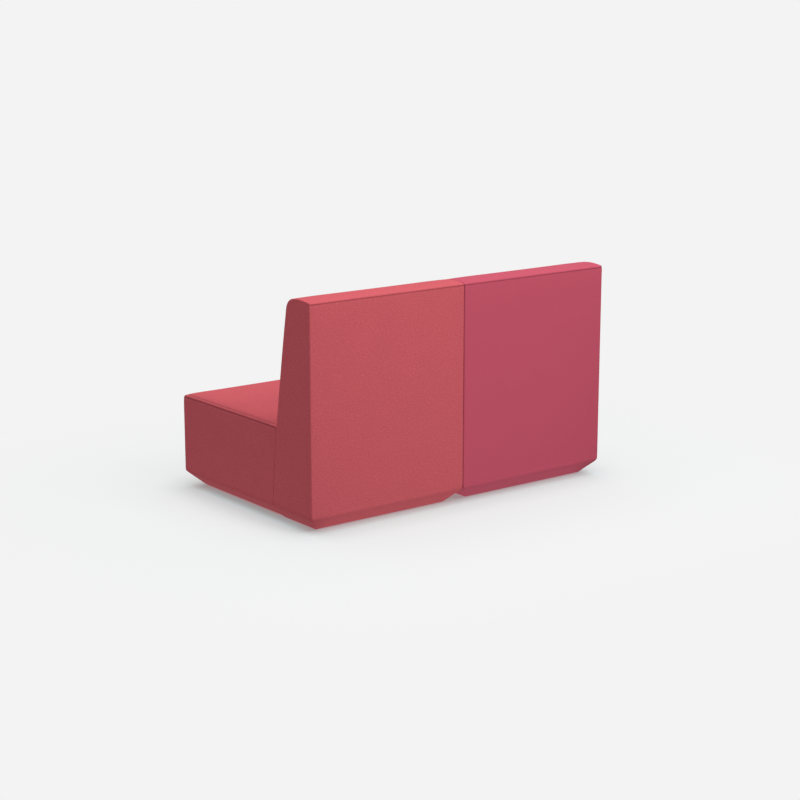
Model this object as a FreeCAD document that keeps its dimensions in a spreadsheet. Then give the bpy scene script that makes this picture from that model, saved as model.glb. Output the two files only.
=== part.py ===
import FreeCAD, Part
import math
import os

import Sketcher

# Driving dimensions in millimetres: name, value and what it is.
SIZES = [
    ("module_width", 753, "width of one upholstered module"),
    ("module_gap", 3, "gap between the two modules"),
    ("sofa_depth", 933, "front of the seat to the rear panel"),
    ("glide_height", 5, "floor to the underside of the covers"),
    ("cover_thickness", 2, "fabric with its backing"),
    ("unit_gap", 1, "gap between the seat cover and the back cover"),
    ("bevel_rise", 59, "height of the bevel round the foot"),
    ("seat_bevel_run", 65, "how far the seat foot steps in"),
    ("back_bevel_run", 59, "how far the back foot steps in"),
    ("corner_radius", 10, "rounding of the upright corners"),
    ("panel_crown", 2.5, "swell of the flat panels"),
    ("seat_edge_height", 388, "floor to the seam along the seat sides"),
    ("seat_top_rise", 7, "seam to the seat top at its edges"),
    ("seat_crown", 5, "swell of the seat top"),
    ("seat_roll", 10, "width of the rolled edge along the seat sides"),
    ("seat_front_radius", 18, "rounding of the front edge of the seat"),
    ("seat_rear_radius", 14, "rounding of the rear edge of the seat"),
    ("back_thickness_at_base", 276, "depth of the back unit at its underside"),
    ("back_thickness_at_seat", 236.6, "depth of the back unit at the seat"),
    ("back_seam_height", 905, "floor to the seam above the rear panel"),
    ("back_edge_rounding", 9, "rounding above that seam"),
    ("back_top_sag", 6.2, "rise of the rounded top"),
    ("back_top_front", 110, "rear panel to the front end of the rounded top"),
    ("back_top_front_rise", 10.5, "height of that end above the rear seam"),
    ("back_shoulder_thickness", 150, "depth of the back below the front shoulder"),
    ("back_shoulder_drop", 28, "rear seam down to the foot of the front shoulder"),
    ("back_shoulder_sag", 8.1, "bulge of the front shoulder"),
    ("back_front_crown", 6, "swell of the face that is leant on"),
    ("board_thickness", 18, "plywood of boards, gables and joint panel"),
    ("rail_thickness", 22, "solid timber of the rails"),
    ("frame_inset", 48, "cover to the outer faces of the frame"),
    ("seat_rail_top", 200, "floor to the top of the front and rear rails"),
    ("corner_block_side", 45, "side of the corner blocks"),
    ("webbing_width", 50, "width of a strap"),
    ("webbing_thickness", 2, "thickness of a strap"),
    ("joint_panel_drop", 58, "seat seam down to the top of the joint panel"),
    ("back_frame_drop", 45, "rear seam down to the top of the gables"),
    ("front_padding", 60, "foam in front of the back webbing"),
    ("rear_padding", 15, "foam behind the rear panel"),
    ("heel_padding", 10, "foam behind the lower ends of the gables"),
    ("rear_panel_thickness", 4, "hardboard"),
    ("gable_border", 34, "timber left round the windows in the gables"),
    ("top_rail_width", 60, "depth of the top rail"),
    ("middle_rail_height", 480, "floor to the middle of the middle rail"),
    ("middle_rail_width", 90, "height of the middle rail"),
    ("turn_under", 90, "fabric turned under the boards"),
    ("dust_overlap", 20, "overlap of the dust cover on the turned fabric"),
    ("dust_thickness", 0.8, "cloth that closes the underside"),
    ("bolt_diameter", 8, "bolts between seat and back"),
    ("bolt_from_block", 40, "corner block to the middle of a bolt"),
    ("bolt_drop", 35, "top of the rear rail down to the bolts"),
    ("bolt_head_width", 13, "across the flats of the bolt head"),
    ("bolt_head_height", 5.3, "height of the bolt head"),
    ("bolt_end", 6, "bolt beyond its nut"),
    ("hole_clearance", 0.5, "gap round a bolt"),
    ("fit_clearance", 0.1, "gap round a screw or a pressed nut"),
    ("washer_diameter", 24, "washer under the bolt head"),
    ("washer_thickness", 2, "washer"),
    ("tee_nut_diameter", 11, "barrel of the tee nut"),
    ("tee_nut_length", 10, "length of that barrel"),
    ("tee_nut_flange", 22, "flange of the tee nut"),
    ("tee_nut_flange_thickness", 1.6, "thickness of that flange"),
    ("glide_diameter", 40, "glides"),
    ("glide_inset", 45, "edge of the base board to the middle of a glide"),
    ("screw_diameter", 4.5, "screws of the glides and link plates"),
    ("screw_head_diameter", 9, "their countersunk heads"),
    ("screw_head_height", 2.2, "height of the countersink"),
    ("screw_length", 17, "length of the shank above the head"),
    ("screw_recess", 0.5, "how deep the heads sit below the surface"),
    ("link_thickness", 3, "steel of the link plates"),
    ("link_width", 60, "width of the link plates"),
    ("link_reach", 60, "edge of the base board to the end of a plate"),
    ("link_screw_edge", 32, "edge of the base board to a screw"),
    ("link_inset", 165, "front and rear edge of the seat underside to the middle of a plate"),
]
MODULES = [("coral", 1), ("berry", -1)]
SEAT_STRAPS_LONG = 5
SEAT_STRAPS_CROSS = 5
BACK_STRAPS = 6
GABLE_WINDOWS = 2
# How far a corner of a 45 degree bevel shifts when the surface is set in by one unit.
BEVEL_SHRINK = 2 - math.sqrt(2)
# Rise of a quarter arc over its chord, as a share of its radius.
QUARTER_SAG = 1 - math.sqrt(0.5)

doc = FreeCAD.newDocument("two_seat_sofa")
sheet = doc.addObject("Spreadsheet::Sheet", "Sizes")
for row, (alias, value, meaning) in enumerate(SIZES, start=1):
    sheet.set(f"A{row}", meaning)
    sheet.set(f"B{row}", str(value))
    sheet.setAlias(f"B{row}", alias)
doc.recompute()


class Size:
    """A number together with the sheet expression that yields it."""

    def __init__(self, value, text):
        self.value = float(value)
        self.text = text

    def __add__(self, other):
        other = as_size(other)
        return Size(self.value + other.value, f"({self.text} + {other.text})")

    def __sub__(self, other):
        other = as_size(other)
        return Size(self.value - other.value, f"({self.text} - {other.text})")

    def __mul__(self, other):
        other = as_size(other)
        return Size(self.value * other.value, f"({self.text} * {other.text})")

    def __truediv__(self, other):
        other = as_size(other)
        return Size(self.value / other.value, f"({self.text} / {other.text})")

    def __neg__(self):
        return Size(-self.value, f"(0 - {self.text})")

    __radd__ = __add__
    __rmul__ = __mul__


class Cells:
    """The cells of the sheet by name, each as a Size."""

    def __getattr__(self, alias):
        return Size(sheet.get(alias), f"Sizes.{alias}")


def as_size(number):
    """A Size as it is, or a plain number as a Size."""
    if isinstance(number, Size):
        return number
    return Size(number, f"({float(number)!r})")


def root(size):
    return Size(math.sqrt(size.value), f"sqrt({size.text})")


dim = Cells()
ZERO = as_size(0)
nodes = []


def bind(item, name, size):
    item.setExpression(name, as_size(size).text)


def place(item, x, y, z):
    bind(item, "Placement.Base.x", x)
    bind(item, "Placement.Base.y", y)
    bind(item, "Placement.Base.z", z)


def node(label, item):
    """Names a finished piece and puts it on the list of pieces to write."""
    item.Label = label
    nodes.append(item)
    return item


def compound(name, items):
    group = doc.addObject("Part::Compound", name)
    group.Links = items
    return group


def cut(name, base, tools):
    """The base without its tools."""
    result = doc.addObject("Part::Cut", name)
    result.Base = base
    result.Tool = tools[0] if len(tools) == 1 else compound(name + "_tools", tools)
    return result


def fuse(name, items):
    result = doc.addObject("Part::MultiFuse", name)
    result.Shapes = items
    return result


def common(name, items):
    result = doc.addObject("Part::MultiCommon", name)
    result.Shapes = items
    return result


def fix_corner(sketch, edge, end, corner):
    """Ties one end of a sketch edge to a corner by its two distances from the origin."""
    for kind, size in zip(("DistanceX", "DistanceY"), corner):
        index = sketch.addConstraint(Sketcher.Constraint(kind, -1, 1, edge, end, size.value))
        bind(sketch, f"Constraints[{index}]", size)


def arc_edge(start, finish, sag):
    """The arc that runs anticlockwise from start to finish and rises by sag over its chord."""
    across = finish[0].value - start[0].value
    along = finish[1].value - start[1].value
    chord = math.hypot(across, along)
    radius = (chord**2 / 4 + sag.value**2) / (2 * sag.value)
    reach = radius - sag.value
    middle_x = (start[0].value + finish[0].value) / 2 - reach * along / chord
    middle_y = (start[1].value + finish[1].value) / 2 + reach * across / chord
    first = math.atan2(start[1].value - middle_y, start[0].value - middle_x)
    last = math.atan2(finish[1].value - middle_y, finish[0].value - middle_x)
    if last < first:
        last += 2 * math.pi
    centre = FreeCAD.Vector(middle_x, middle_y, 0)
    circle = Part.Circle(centre, FreeCAD.Vector(0, 0, 1), radius)
    return Part.ArcOfCircle(circle, first, last)


def draw_outline(sketch, corners, sags=None):
    """Draws a closed anticlockwise outline. An edge numbered in sags is an arc that bulges outwards."""
    sags = sags or {}
    corners = [(as_size(a), as_size(b)) for a, b in corners]
    count = len(corners)
    for edge, start in enumerate(corners):
        finish = corners[(edge + 1) % count]
        if edge in sags:
            sketch.addGeometry(arc_edge(start, finish, as_size(sags[edge])))
        else:
            ends = [FreeCAD.Vector(point[0].value, point[1].value, 0) for point in (start, finish)]
            sketch.addGeometry(Part.LineSegment(*ends))
    for edge, start in enumerate(corners):
        sketch.addConstraint(Sketcher.Constraint("Coincident", edge, 2, (edge + 1) % count, 1))
        fix_corner(sketch, edge, 1, start)
    for edge, sag in sags.items():
        start, finish = corners[edge], corners[(edge + 1) % count]
        across, along = finish[0] - start[0], finish[1] - start[1]
        chord_squared = across * across + along * along
        radius = (chord_squared / 4 + as_size(sag) * sag) / (as_size(sag) * 2)
        index = sketch.addConstraint(Sketcher.Constraint("Radius", edge, radius.value))
        bind(sketch, f"Constraints[{index}]", radius)


# For each drawing plane: its turn, the axis it is stacked along and that axis as a direction.
PLANES = {
    "side": (FreeCAD.Rotation(FreeCAD.Vector(1, 1, 1), 120), "x", FreeCAD.Vector(1, 0, 0)),
    "front": (FreeCAD.Rotation(FreeCAD.Vector(1, 0, 0), 90), "y", FreeCAD.Vector(0, 1, 0)),
    "plan": (FreeCAD.Rotation(), "z", FreeCAD.Vector(0, 0, 1)),
}


def turned_profile(name, corners):
    """A half section, as radius and height, to be turned about the upright axis."""
    sketch = doc.addObject("Sketcher::SketchObject", name)
    sketch.Placement = FreeCAD.Placement(FreeCAD.Vector(), PLANES["front"][0])
    draw_outline(sketch, corners)
    return sketch


def turned(name, profile, x, y, z):
    """A turned solid on an upright axis through a point."""
    solid = doc.addObject("Part::Revolution", name)
    solid.Source = profile
    solid.Axis = FreeCAD.Vector(0, 0, 1)
    solid.Angle = 360
    solid.Solid = True
    place(solid, x, y, z)
    return solid


class Module:
    """Draws pieces about the centre plane of one module and sets them at its place in the sofa."""

    def __init__(self, name, side):
        self.name = name
        self.centre = (dim.module_width + dim.module_gap) / 2 * side

    def node(self, name, item):
        return node(f"{self.name}_{name}", item)

    def box(self, name, low, high):
        item = doc.addObject("Part::Box", name)
        for axis, extent in enumerate(("Length", "Width", "Height")):
            bind(item, extent, as_size(high[axis]) - low[axis])
        place(item, self.centre + low[0], low[1], low[2])
        return item

    def sketch(self, name, plane, corners, start, sags=None):
        """An outline on one of the drawing planes, shifted along that plane's axis."""
        outline = doc.addObject("Sketcher::SketchObject", name)
        turn, axis, _ = PLANES[plane]
        outline.Placement = FreeCAD.Placement(FreeCAD.Vector(), turn)
        draw_outline(outline, corners, sags)
        shift = {"x": self.centre}
        shift[axis] = as_size(start) + shift.get(axis, ZERO)
        for along, size in shift.items():
            bind(outline, f"Placement.Base.{along}", size)
        return outline

    def prism(self, name, plane, corners, start, end, sags=None):
        """An outline carried along the axis of its plane, from start to end."""
        solid = doc.addObject("Part::Extrusion", name)
        solid.Base = self.sketch(name + "_outline", plane, corners, start, sags)
        solid.DirMode = "Custom"
        solid.Dir = PLANES[plane][2]
        solid.Solid = True
        bind(solid, "LengthFwd", as_size(end) - start)
        return solid

    def tapered_board(self, name, lower, upper, z_low, z_high):
        """A board between a lower and an upper rectangle, each given as x and y limits."""
        board = doc.addObject("Part::Wedge", name)
        board.Placement = FreeCAD.Placement(FreeCAD.Vector(), PLANES["front"][0])
        for prefix, (x_low, x_high, y_low, y_high) in (("", lower), ("2", upper)):
            bind(board, f"X{prefix}min", x_low)
            bind(board, f"X{prefix}max", x_high)
            bind(board, f"Z{prefix}min", -as_size(y_high))
            bind(board, f"Z{prefix}max", -as_size(y_low))
        bind(board, "Ymin", ZERO)
        bind(board, "Ymax", z_high - z_low)
        place(board, self.centre, ZERO, z_low)
        return board

    def bolted(self, item, x, height, distance):
        """Sets a turned piece on a line square to the joint, at a distance behind the joint."""
        lean = joint_slope()
        item.Placement = FreeCAD.Placement(FreeCAD.Vector(), FreeCAD.Rotation(FreeCAD.Vector(1, 0, 0), 1))
        bind(item, "Placement.Rotation.Angle", Size(0, f"-(90 deg + atan({lean.text}))"))
        y = joint_y(height) + distance * joint_cosine()
        z = height - distance * joint_cosine() * lean
        place(item, self.centre + x, y, z)
        return item


# The joint between seat and back leans: these give its slope and its place at any height.
def joint_slope():
    fall = dim.back_thickness_at_base - dim.back_thickness_at_seat
    return fall / (dim.seat_edge_height - dim.glide_height)


def joint_cosine():
    slope = joint_slope()
    return as_size(1) / root(slope * slope + 1)


def joint_y(height):
    foot = dim.sofa_depth / 2 - dim.back_thickness_at_base
    return foot + joint_slope() * (as_size(height) - dim.glide_height)


def seat_rear(height, skin):
    """Rear face of the seat, set in by a skin."""
    return joint_y(height) - dim.unit_gap / 2 - skin


def back_front(height, skin):
    """Front face of the back below the seat, set in by a skin."""
    return joint_y(height) + dim.unit_gap / 2 + skin


def seat_top():
    """Height of the seat top along its edges."""
    return dim.seat_edge_height + dim.seat_top_rise


def shoulder_height():
    """Height of the foot of the front shoulder of the back."""
    return dim.back_seam_height - dim.back_shoulder_drop


def back_frame_top():
    return dim.back_seam_height - dim.back_frame_drop


def joint_panel_top():
    return dim.seat_edge_height - dim.joint_panel_drop


def bolt_places():
    """Name, x and height of the bolts, high up where a leaning sitter pulls the joint open."""
    x = frame_half() - dim.rail_thickness - dim.corner_block_side - dim.bolt_from_block
    height = dim.seat_rail_top - dim.bolt_drop
    return [("left", -x, height), ("right", x, height)]


def board_bottom():
    return dim.glide_height + dim.cover_thickness


def board_top():
    return board_bottom() + dim.board_thickness


def bevel_inset(run, height):
    """How far the inner face of the cover stands in from the outline, at a height within the bevel."""
    skin = dim.cover_thickness
    inner_run = run - skin * BEVEL_SHRINK
    inner_rise = dim.bevel_rise - skin * BEVEL_SHRINK
    return skin + inner_run - inner_run / inner_rise * (height - board_bottom())


def foot_outline(half, run, floor, rise):
    """The lower corners of the front view, from the left foot to the right shoulder of the bevel."""
    return [(run - half, floor), (half - run, floor), (half, floor + rise)]


def seat_block(module, name, skin):
    """The upholstered seat, set in by a skin: what its side view, front view and plan share."""
    skin = as_size(skin)
    half = dim.module_width / 2 - skin
    front = skin - dim.sofa_depth / 2
    floor = dim.glide_height + skin
    run = dim.seat_bevel_run - skin * BEVEL_SHRINK
    rise = dim.bevel_rise - skin * BEVEL_SHRINK
    top = seat_top() - skin
    crest = top + dim.seat_crown
    rear_radius, front_radius = dim.seat_rear_radius, dim.seat_front_radius
    side_view = [
        (front + run, floor),
        (seat_rear(floor, skin), floor),
        (seat_rear(crest - rear_radius, skin), crest - rear_radius),
        (seat_rear(crest, skin) - rear_radius, crest),
        (front + front_radius, crest),
        (front, crest - front_radius),
        (front, floor + rise),
    ]
    side_sags = {2: rear_radius * QUARTER_SAG, 4: front_radius * QUARTER_SAG}
    side_prism = module.prism(name + "_side_view", "side", side_view, -half, half, side_sags)
    edge = dim.seat_edge_height - skin
    roll = dim.seat_roll
    front_view = foot_outline(half, run, floor, rise) + [
        (half, edge),
        (half - roll, top),
        (roll - half, top),
        (-half, edge),
        (-half, floor + rise),
    ]
    roll_sag = roll * QUARTER_SAG
    crowns = {3: roll_sag, 4: dim.seat_crown, 5: roll_sag}
    depth = dim.sofa_depth
    front_prism = module.prism(name + "_front_view", "front", front_view, -depth, depth / 2, crowns)
    radius = dim.corner_radius
    swell = dim.panel_crown
    plan = [
        (-half - swell, front + radius),
        (radius - half, front - swell),
        (half - radius, front - swell),
        (half + swell, front + radius),
        (half + swell, depth / 2),
        (-half - swell, depth / 2),
    ]
    corner_sags = {0: radius * QUARTER_SAG, 2: radius * QUARTER_SAG}
    plan_prism = module.prism(name + "_plan", "plan", plan, ZERO, crest * 2, corner_sags)
    return common(name, [side_prism, front_prism, plan_prism])


def back_block(module, name, skin):
    """The upholstered back, set in by a skin: what its side view, front view and plan share."""
    skin = as_size(skin)
    half = dim.module_width / 2 - skin
    rear_face = dim.sofa_depth / 2
    rear = rear_face - skin
    floor = dim.glide_height + skin
    run = dim.back_bevel_run - skin * BEVEL_SHRINK
    rise = dim.bevel_rise - skin * BEVEL_SHRINK
    seam = dim.back_seam_height
    rounding = dim.back_edge_rounding

    side_view = [
        (back_front(floor, skin), floor),
        (rear - run, floor),
        (rear, floor + rise),
        (rear, seam),
        (rear_face - rounding, seam + rounding - skin),
        (rear_face - dim.back_top_front, seam + dim.back_top_front_rise - skin),
        (rear_face - dim.back_shoulder_thickness + skin, shoulder_height()),
        (back_front(dim.seat_edge_height, skin), dim.seat_edge_height),
    ]
    side_sags = {
        2: dim.panel_crown,
        3: rounding * QUARTER_SAG,
        4: dim.back_top_sag,
        5: dim.back_shoulder_sag,
        6: dim.back_front_crown,
    }
    side_prism = module.prism(name + "_side_view", "side", side_view, -half, half, side_sags)
    headroom = seam * 2
    front_view = foot_outline(half, run, floor, rise) + [
        (half, seam),
        (half, headroom),
        (-half, headroom),
        (-half, seam),
        (-half, floor + rise),
    ]
    front_prism = module.prism(name + "_front_view", "front", front_view, -rear_face, rear_face * 2)
    radius = dim.corner_radius
    swell = dim.panel_crown
    plan = [
        (-half - swell, -rear_face),
        (half + swell, -rear_face),
        (half + swell, rear - radius),
        (half - radius, rear + swell),
        (radius - half, rear + swell),
        (-half - swell, rear - radius),
    ]
    corner_sags = {2: radius * QUARTER_SAG, 4: radius * QUARTER_SAG}
    plan_prism = module.prism(name + "_plan", "plan", plan, ZERO, headroom, corner_sags)
    return common(name, [side_prism, front_prism, plan_prism])


def under_opening(module, name, x_half, y_low, y_high):
    """The opening in the underside of a cover, inside its turned-under fabric."""
    margin = dim.turn_under
    low = (margin - x_half, y_low + margin, ZERO)
    high = (x_half - margin, y_high - margin, board_bottom() + dim.cover_thickness)
    return module.box(name, low, high)


def dust_cover(module, name, x_half, y_low, y_high):
    """Thin cloth over the opening in the underside."""
    margin = dim.turn_under - dim.dust_overlap
    low = (margin - x_half, y_low + margin, dim.glide_height - dim.dust_thickness)
    high = (x_half - margin, y_high - margin, dim.glide_height)
    module.node(name, module.box(name + "_sheet", low, high))


def seat_foot():
    half = dim.module_width / 2 - dim.seat_bevel_run
    return half, dim.seat_bevel_run - dim.sofa_depth / 2, seat_rear(dim.glide_height, 0)


def back_foot():
    half = dim.module_width / 2 - dim.back_bevel_run
    return half, back_front(dim.glide_height, 0), dim.sofa_depth / 2 - dim.back_bevel_run


def frame_half():
    return dim.module_width / 2 - dim.frame_inset


def joint_holes(module, name, diameter):
    """Round tools through the joint, one for each bolt."""
    reach = (dim.rail_thickness + dim.board_thickness) * 2
    profile = turned_profile(name + "_section", [
        (ZERO, ZERO), (diameter / 2, ZERO), (diameter / 2, reach * 2), (ZERO, reach * 2)])
    return [module.bolted(turned(f"{name}_{spot}", profile, 0, 0, 0), x, height, -reach)
            for spot, x, height in bolt_places()]


def joint_hardware(module):
    """Bolts with washers in the rear rail, and tee nuts in the joint panel."""
    cosine = joint_cosine()
    rail_face = -(dim.unit_gap / 2 + dim.cover_thickness + dim.rail_thickness) * cosine
    panel_face = (dim.unit_gap / 2 + dim.cover_thickness + dim.board_thickness) * cosine
    bolt, barrel = dim.bolt_diameter / 2, dim.tee_nut_diameter / 2
    shank_end = panel_face + dim.tee_nut_flange_thickness + dim.bolt_end
    shank_length = shank_end - rail_face + dim.washer_thickness
    bore = bolt + dim.fit_clearance
    shank = turned_profile(module.name + "_shank_section", [
        (ZERO, ZERO), (bolt, ZERO), (bolt, shank_length), (ZERO, shank_length)])
    washer_rim = dim.washer_diameter / 2
    washer = turned_profile(module.name + "_washer_section", [
        (bolt + dim.hole_clearance, ZERO), (washer_rim, ZERO),
        (washer_rim, dim.washer_thickness), (bolt + dim.hole_clearance, dim.washer_thickness)])
    flange = dim.tee_nut_flange / 2
    nut_height = dim.tee_nut_length + dim.tee_nut_flange_thickness
    nut = turned_profile(module.name + "_tee_nut_section", [
        (bore, ZERO), (barrel, ZERO), (barrel, dim.tee_nut_length), (flange, dim.tee_nut_length),
        (flange, nut_height), (bore, nut_height)])
    bolts, washers, nuts = [], [], []
    seat_face = rail_face - dim.washer_thickness
    nut_start = panel_face - dim.tee_nut_length
    for spot, x, height in bolt_places():
        tag = f"{module.name}_{spot}"
        head = doc.addObject("Part::Prism", tag + "_head")
        head.Polygon = 6
        bind(head, "Circumradius", dim.bolt_head_width / math.sqrt(3))
        bind(head, "Height", dim.bolt_head_height)
        module.bolted(head, x, height, seat_face - dim.bolt_head_height)
        stem = module.bolted(turned(tag + "_stem", shank, 0, 0, 0), x, height, seat_face)
        bolts.append(fuse(tag + "_bolt", [head, stem]))
        washers.append(module.bolted(turned(tag + "_washer", washer, 0, 0, 0), x, height, seat_face))
        nuts.append(module.bolted(turned(tag + "_tee_nut", nut, 0, 0, 0), x, height, nut_start))
    module.node("joint_bolts", compound(module.name + "_bolts", bolts))
    module.node("joint_washers", compound(module.name + "_washers", washers))
    module.node("joint_tee_nuts", compound(module.name + "_tee_nuts", nuts))


def screw_section(name, head_z):
    """Half section of a countersunk screw whose head starts at a height."""
    head, shank = dim.screw_head_diameter / 2, dim.screw_diameter / 2
    neck = head_z + dim.screw_head_height
    tip = neck + dim.screw_length
    return turned_profile(name, [
        (ZERO, head_z), (head, head_z), (shank, neck), (shank, tip), (ZERO, tip)])


def screw_hole_section(name, head_z):
    """Half section of the hole that such a screw needs, with its countersink carried on past the head."""
    gap = dim.fit_clearance
    head, shank = dim.screw_head_diameter / 2 + gap, dim.screw_diameter / 2 + gap
    neck = head_z + dim.screw_head_height
    tip = neck + dim.screw_length + gap
    beyond = dim.screw_recess * 2
    mouth = head_z - beyond
    rim = head + (head - shank) / dim.screw_head_height * beyond
    return turned_profile(name, [(ZERO, mouth), (rim, mouth), (shank, neck), (shank, tip), (ZERO, tip)])


def glide_places():
    """The glides of a module: two under the front of the seat and two under the back."""
    inset = dim.glide_inset
    seat_half, front, _ = seat_foot()
    back_half, back_low, back_high = back_foot()
    rows = {
        "seat": (seat_half - inset, front + inset),
        "back": (back_half - inset, (back_low + back_high) / 2),
    }
    return {unit: [(x * side, y) for side in (-1, 1)] for unit, (x, y) in rows.items()}


def glide_hardware(module):
    """Plastic glides with a countersunk screw each. Returns the screw holes of the seat and the back."""
    top = dim.glide_height
    rim = dim.glide_diameter / 2
    disc = turned_profile(module.name + "_glide_section", [
        (ZERO, ZERO), (rim, ZERO), (rim, top), (ZERO, top)])
    hole = screw_hole_section(module.name + "_glide_hole_section", dim.screw_recess)
    screw = screw_section(module.name + "_glide_screw_section", dim.screw_recess)
    glides, screws, holes = [], [], {}
    for unit, places in glide_places().items():
        holes[unit] = []
        for number, (x, y) in enumerate(places, start=1):
            tag = f"{module.name}_{unit}_{number}"
            spot = (module.centre + x, y, ZERO)
            opening = turned(tag + "_glide_hole", hole, *spot)
            glides.append(cut(tag + "_glide", turned(tag + "_disc", disc, *spot), [opening]))
            screws.append(turned(tag + "_glide_screw", screw, *spot))
            holes[unit].append(opening)
    module.node("glides", compound(module.name + "_glide_set", glides))
    module.node("glide_screws", compound(module.name + "_glide_screw_set", screws))
    return holes


def link_rows():
    """The y places of the two link plates."""
    _, front, rear = seat_foot()
    return {"front": front + dim.link_inset, "rear": rear - dim.link_inset}


def link_screw_reach():
    """Distance of the link screws from the middle of the sofa."""
    return dim.module_gap / 2 + dim.seat_bevel_run + dim.link_screw_edge


def link_holes(side):
    """The link screw holes in the seat of one module."""
    head_z = dim.glide_height - dim.link_thickness
    profile = screw_hole_section(f"link_hole_section_{side}", head_z)
    return [turned(f"link_hole_{row}_{side}", profile, link_screw_reach() * side, y, ZERO)
            for row, y in link_rows().items()]


def origin_plane(body, role):
    return next(feature for feature in body.Origin.OriginFeatures if feature.Role == role)


def body_sketch(body, name, role, offset, corners, sags=None):
    """An outline on one of a body's own planes, lifted off it by an offset."""
    sketch = body.newObject("Sketcher::SketchObject", name)
    sketch.AttachmentSupport = [(origin_plane(body, role), "")]
    sketch.MapMode = "FlatFace"
    bind(sketch, "AttachmentOffset.Base.z", offset)
    draw_outline(sketch, corners, sags)
    return sketch


def link_plate(row, y, holes):
    """A flat steel bar with rounded ends under both seats, with countersunk holes."""
    half_width = dim.link_width / 2
    half_length = dim.module_gap / 2 + dim.seat_bevel_run + dim.link_reach
    body = doc.addObject("PartDesign::Body", f"{row}_link_bar")
    straight = half_length - half_width / 2
    outline = [
        (-straight, -half_width),
        (straight, -half_width),
        (straight, half_width),
        (-straight, half_width),
    ]
    end_sags = {1: half_width / 2, 3: half_width / 2}
    sketch = body_sketch(body, f"{row}_link_outline", "XY_Plane", dim.glide_height - dim.link_thickness,
                         outline, end_sags)
    pad = body.newObject("PartDesign::Pad", f"{row}_link_pad")
    pad.Profile = sketch
    bind(pad, "Length", dim.link_thickness)
    place(body, ZERO, y, ZERO)
    node(f"{row}_link_plate", cut(f"{row}_link", body, holes))


def gable(module, side):
    """One shaped plywood side of the back, with windows that lighten it."""
    rear = dim.sofa_depth / 2 - dim.cover_thickness - dim.rear_padding - dim.rear_panel_thickness
    foot = board_top()
    heel = gable_heel()
    step = joint_panel_top()
    outline = [
        (gable_low(foot), foot),
        (heel, foot),
        (rear, foot + rear - heel),
        (rear, back_frame_top()),
        (webbing_line(back_frame_top()), back_frame_top()),
        (webbing_line(step), step),
        (gable_low(step), step),
    ]
    tag = f"{module.name}_{side}_gable"
    start = frame_half() - dim.board_thickness if side == "right" else -frame_half()
    body = doc.addObject("PartDesign::Body", tag)
    pad = body.newObject("PartDesign::Pad", tag + "_pad")
    pad.Profile = body_sketch(body, tag + "_outline", "YZ_Plane", start, outline)
    bind(pad, "Length", dim.board_thickness)
    border = dim.gable_border
    window_low, window_high = step + border, back_frame_top() - border * 2
    pitch = (window_high - window_low + border) / GABLE_WINDOWS
    for number in range(GABLE_WINDOWS):
        low = window_low + pitch * number
        high = low + pitch - border
        window = [
            (webbing_line(low) + border, low),
            (rear - border, low),
            (rear - border, high),
            (webbing_line(high) + border, high),
        ]
        opening = body.newObject("PartDesign::Pocket", f"{tag}_window_{number}")
        opening.Profile = body_sketch(body, f"{tag}_window_{number}_outline", "YZ_Plane", start, window)
        opening.Type = "ThroughAll"
        opening.Midplane = True
    place(body, module.centre, ZERO, ZERO)
    return body


def gable_heel():
    """Rear end of the gables where they stand on the base board."""
    return dim.sofa_depth / 2 - bevel_inset(dim.back_bevel_run, board_top()) - dim.heel_padding


def gable_low(height):
    """Front edge of the gables behind the joint panel."""
    return back_front(height, dim.cover_thickness) + dim.board_thickness


def webbing_line(height):
    """Front edge of the gables behind the back webbing, at a height."""
    lower_z, upper_z = joint_panel_top(), shoulder_height()
    lower = joint_y(lower_z) + dim.front_padding
    upper = dim.sofa_depth / 2 - dim.back_shoulder_thickness + dim.front_padding
    return lower + (upper - lower) * (as_size(height) - lower_z) / (upper_z - lower_z)


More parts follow.
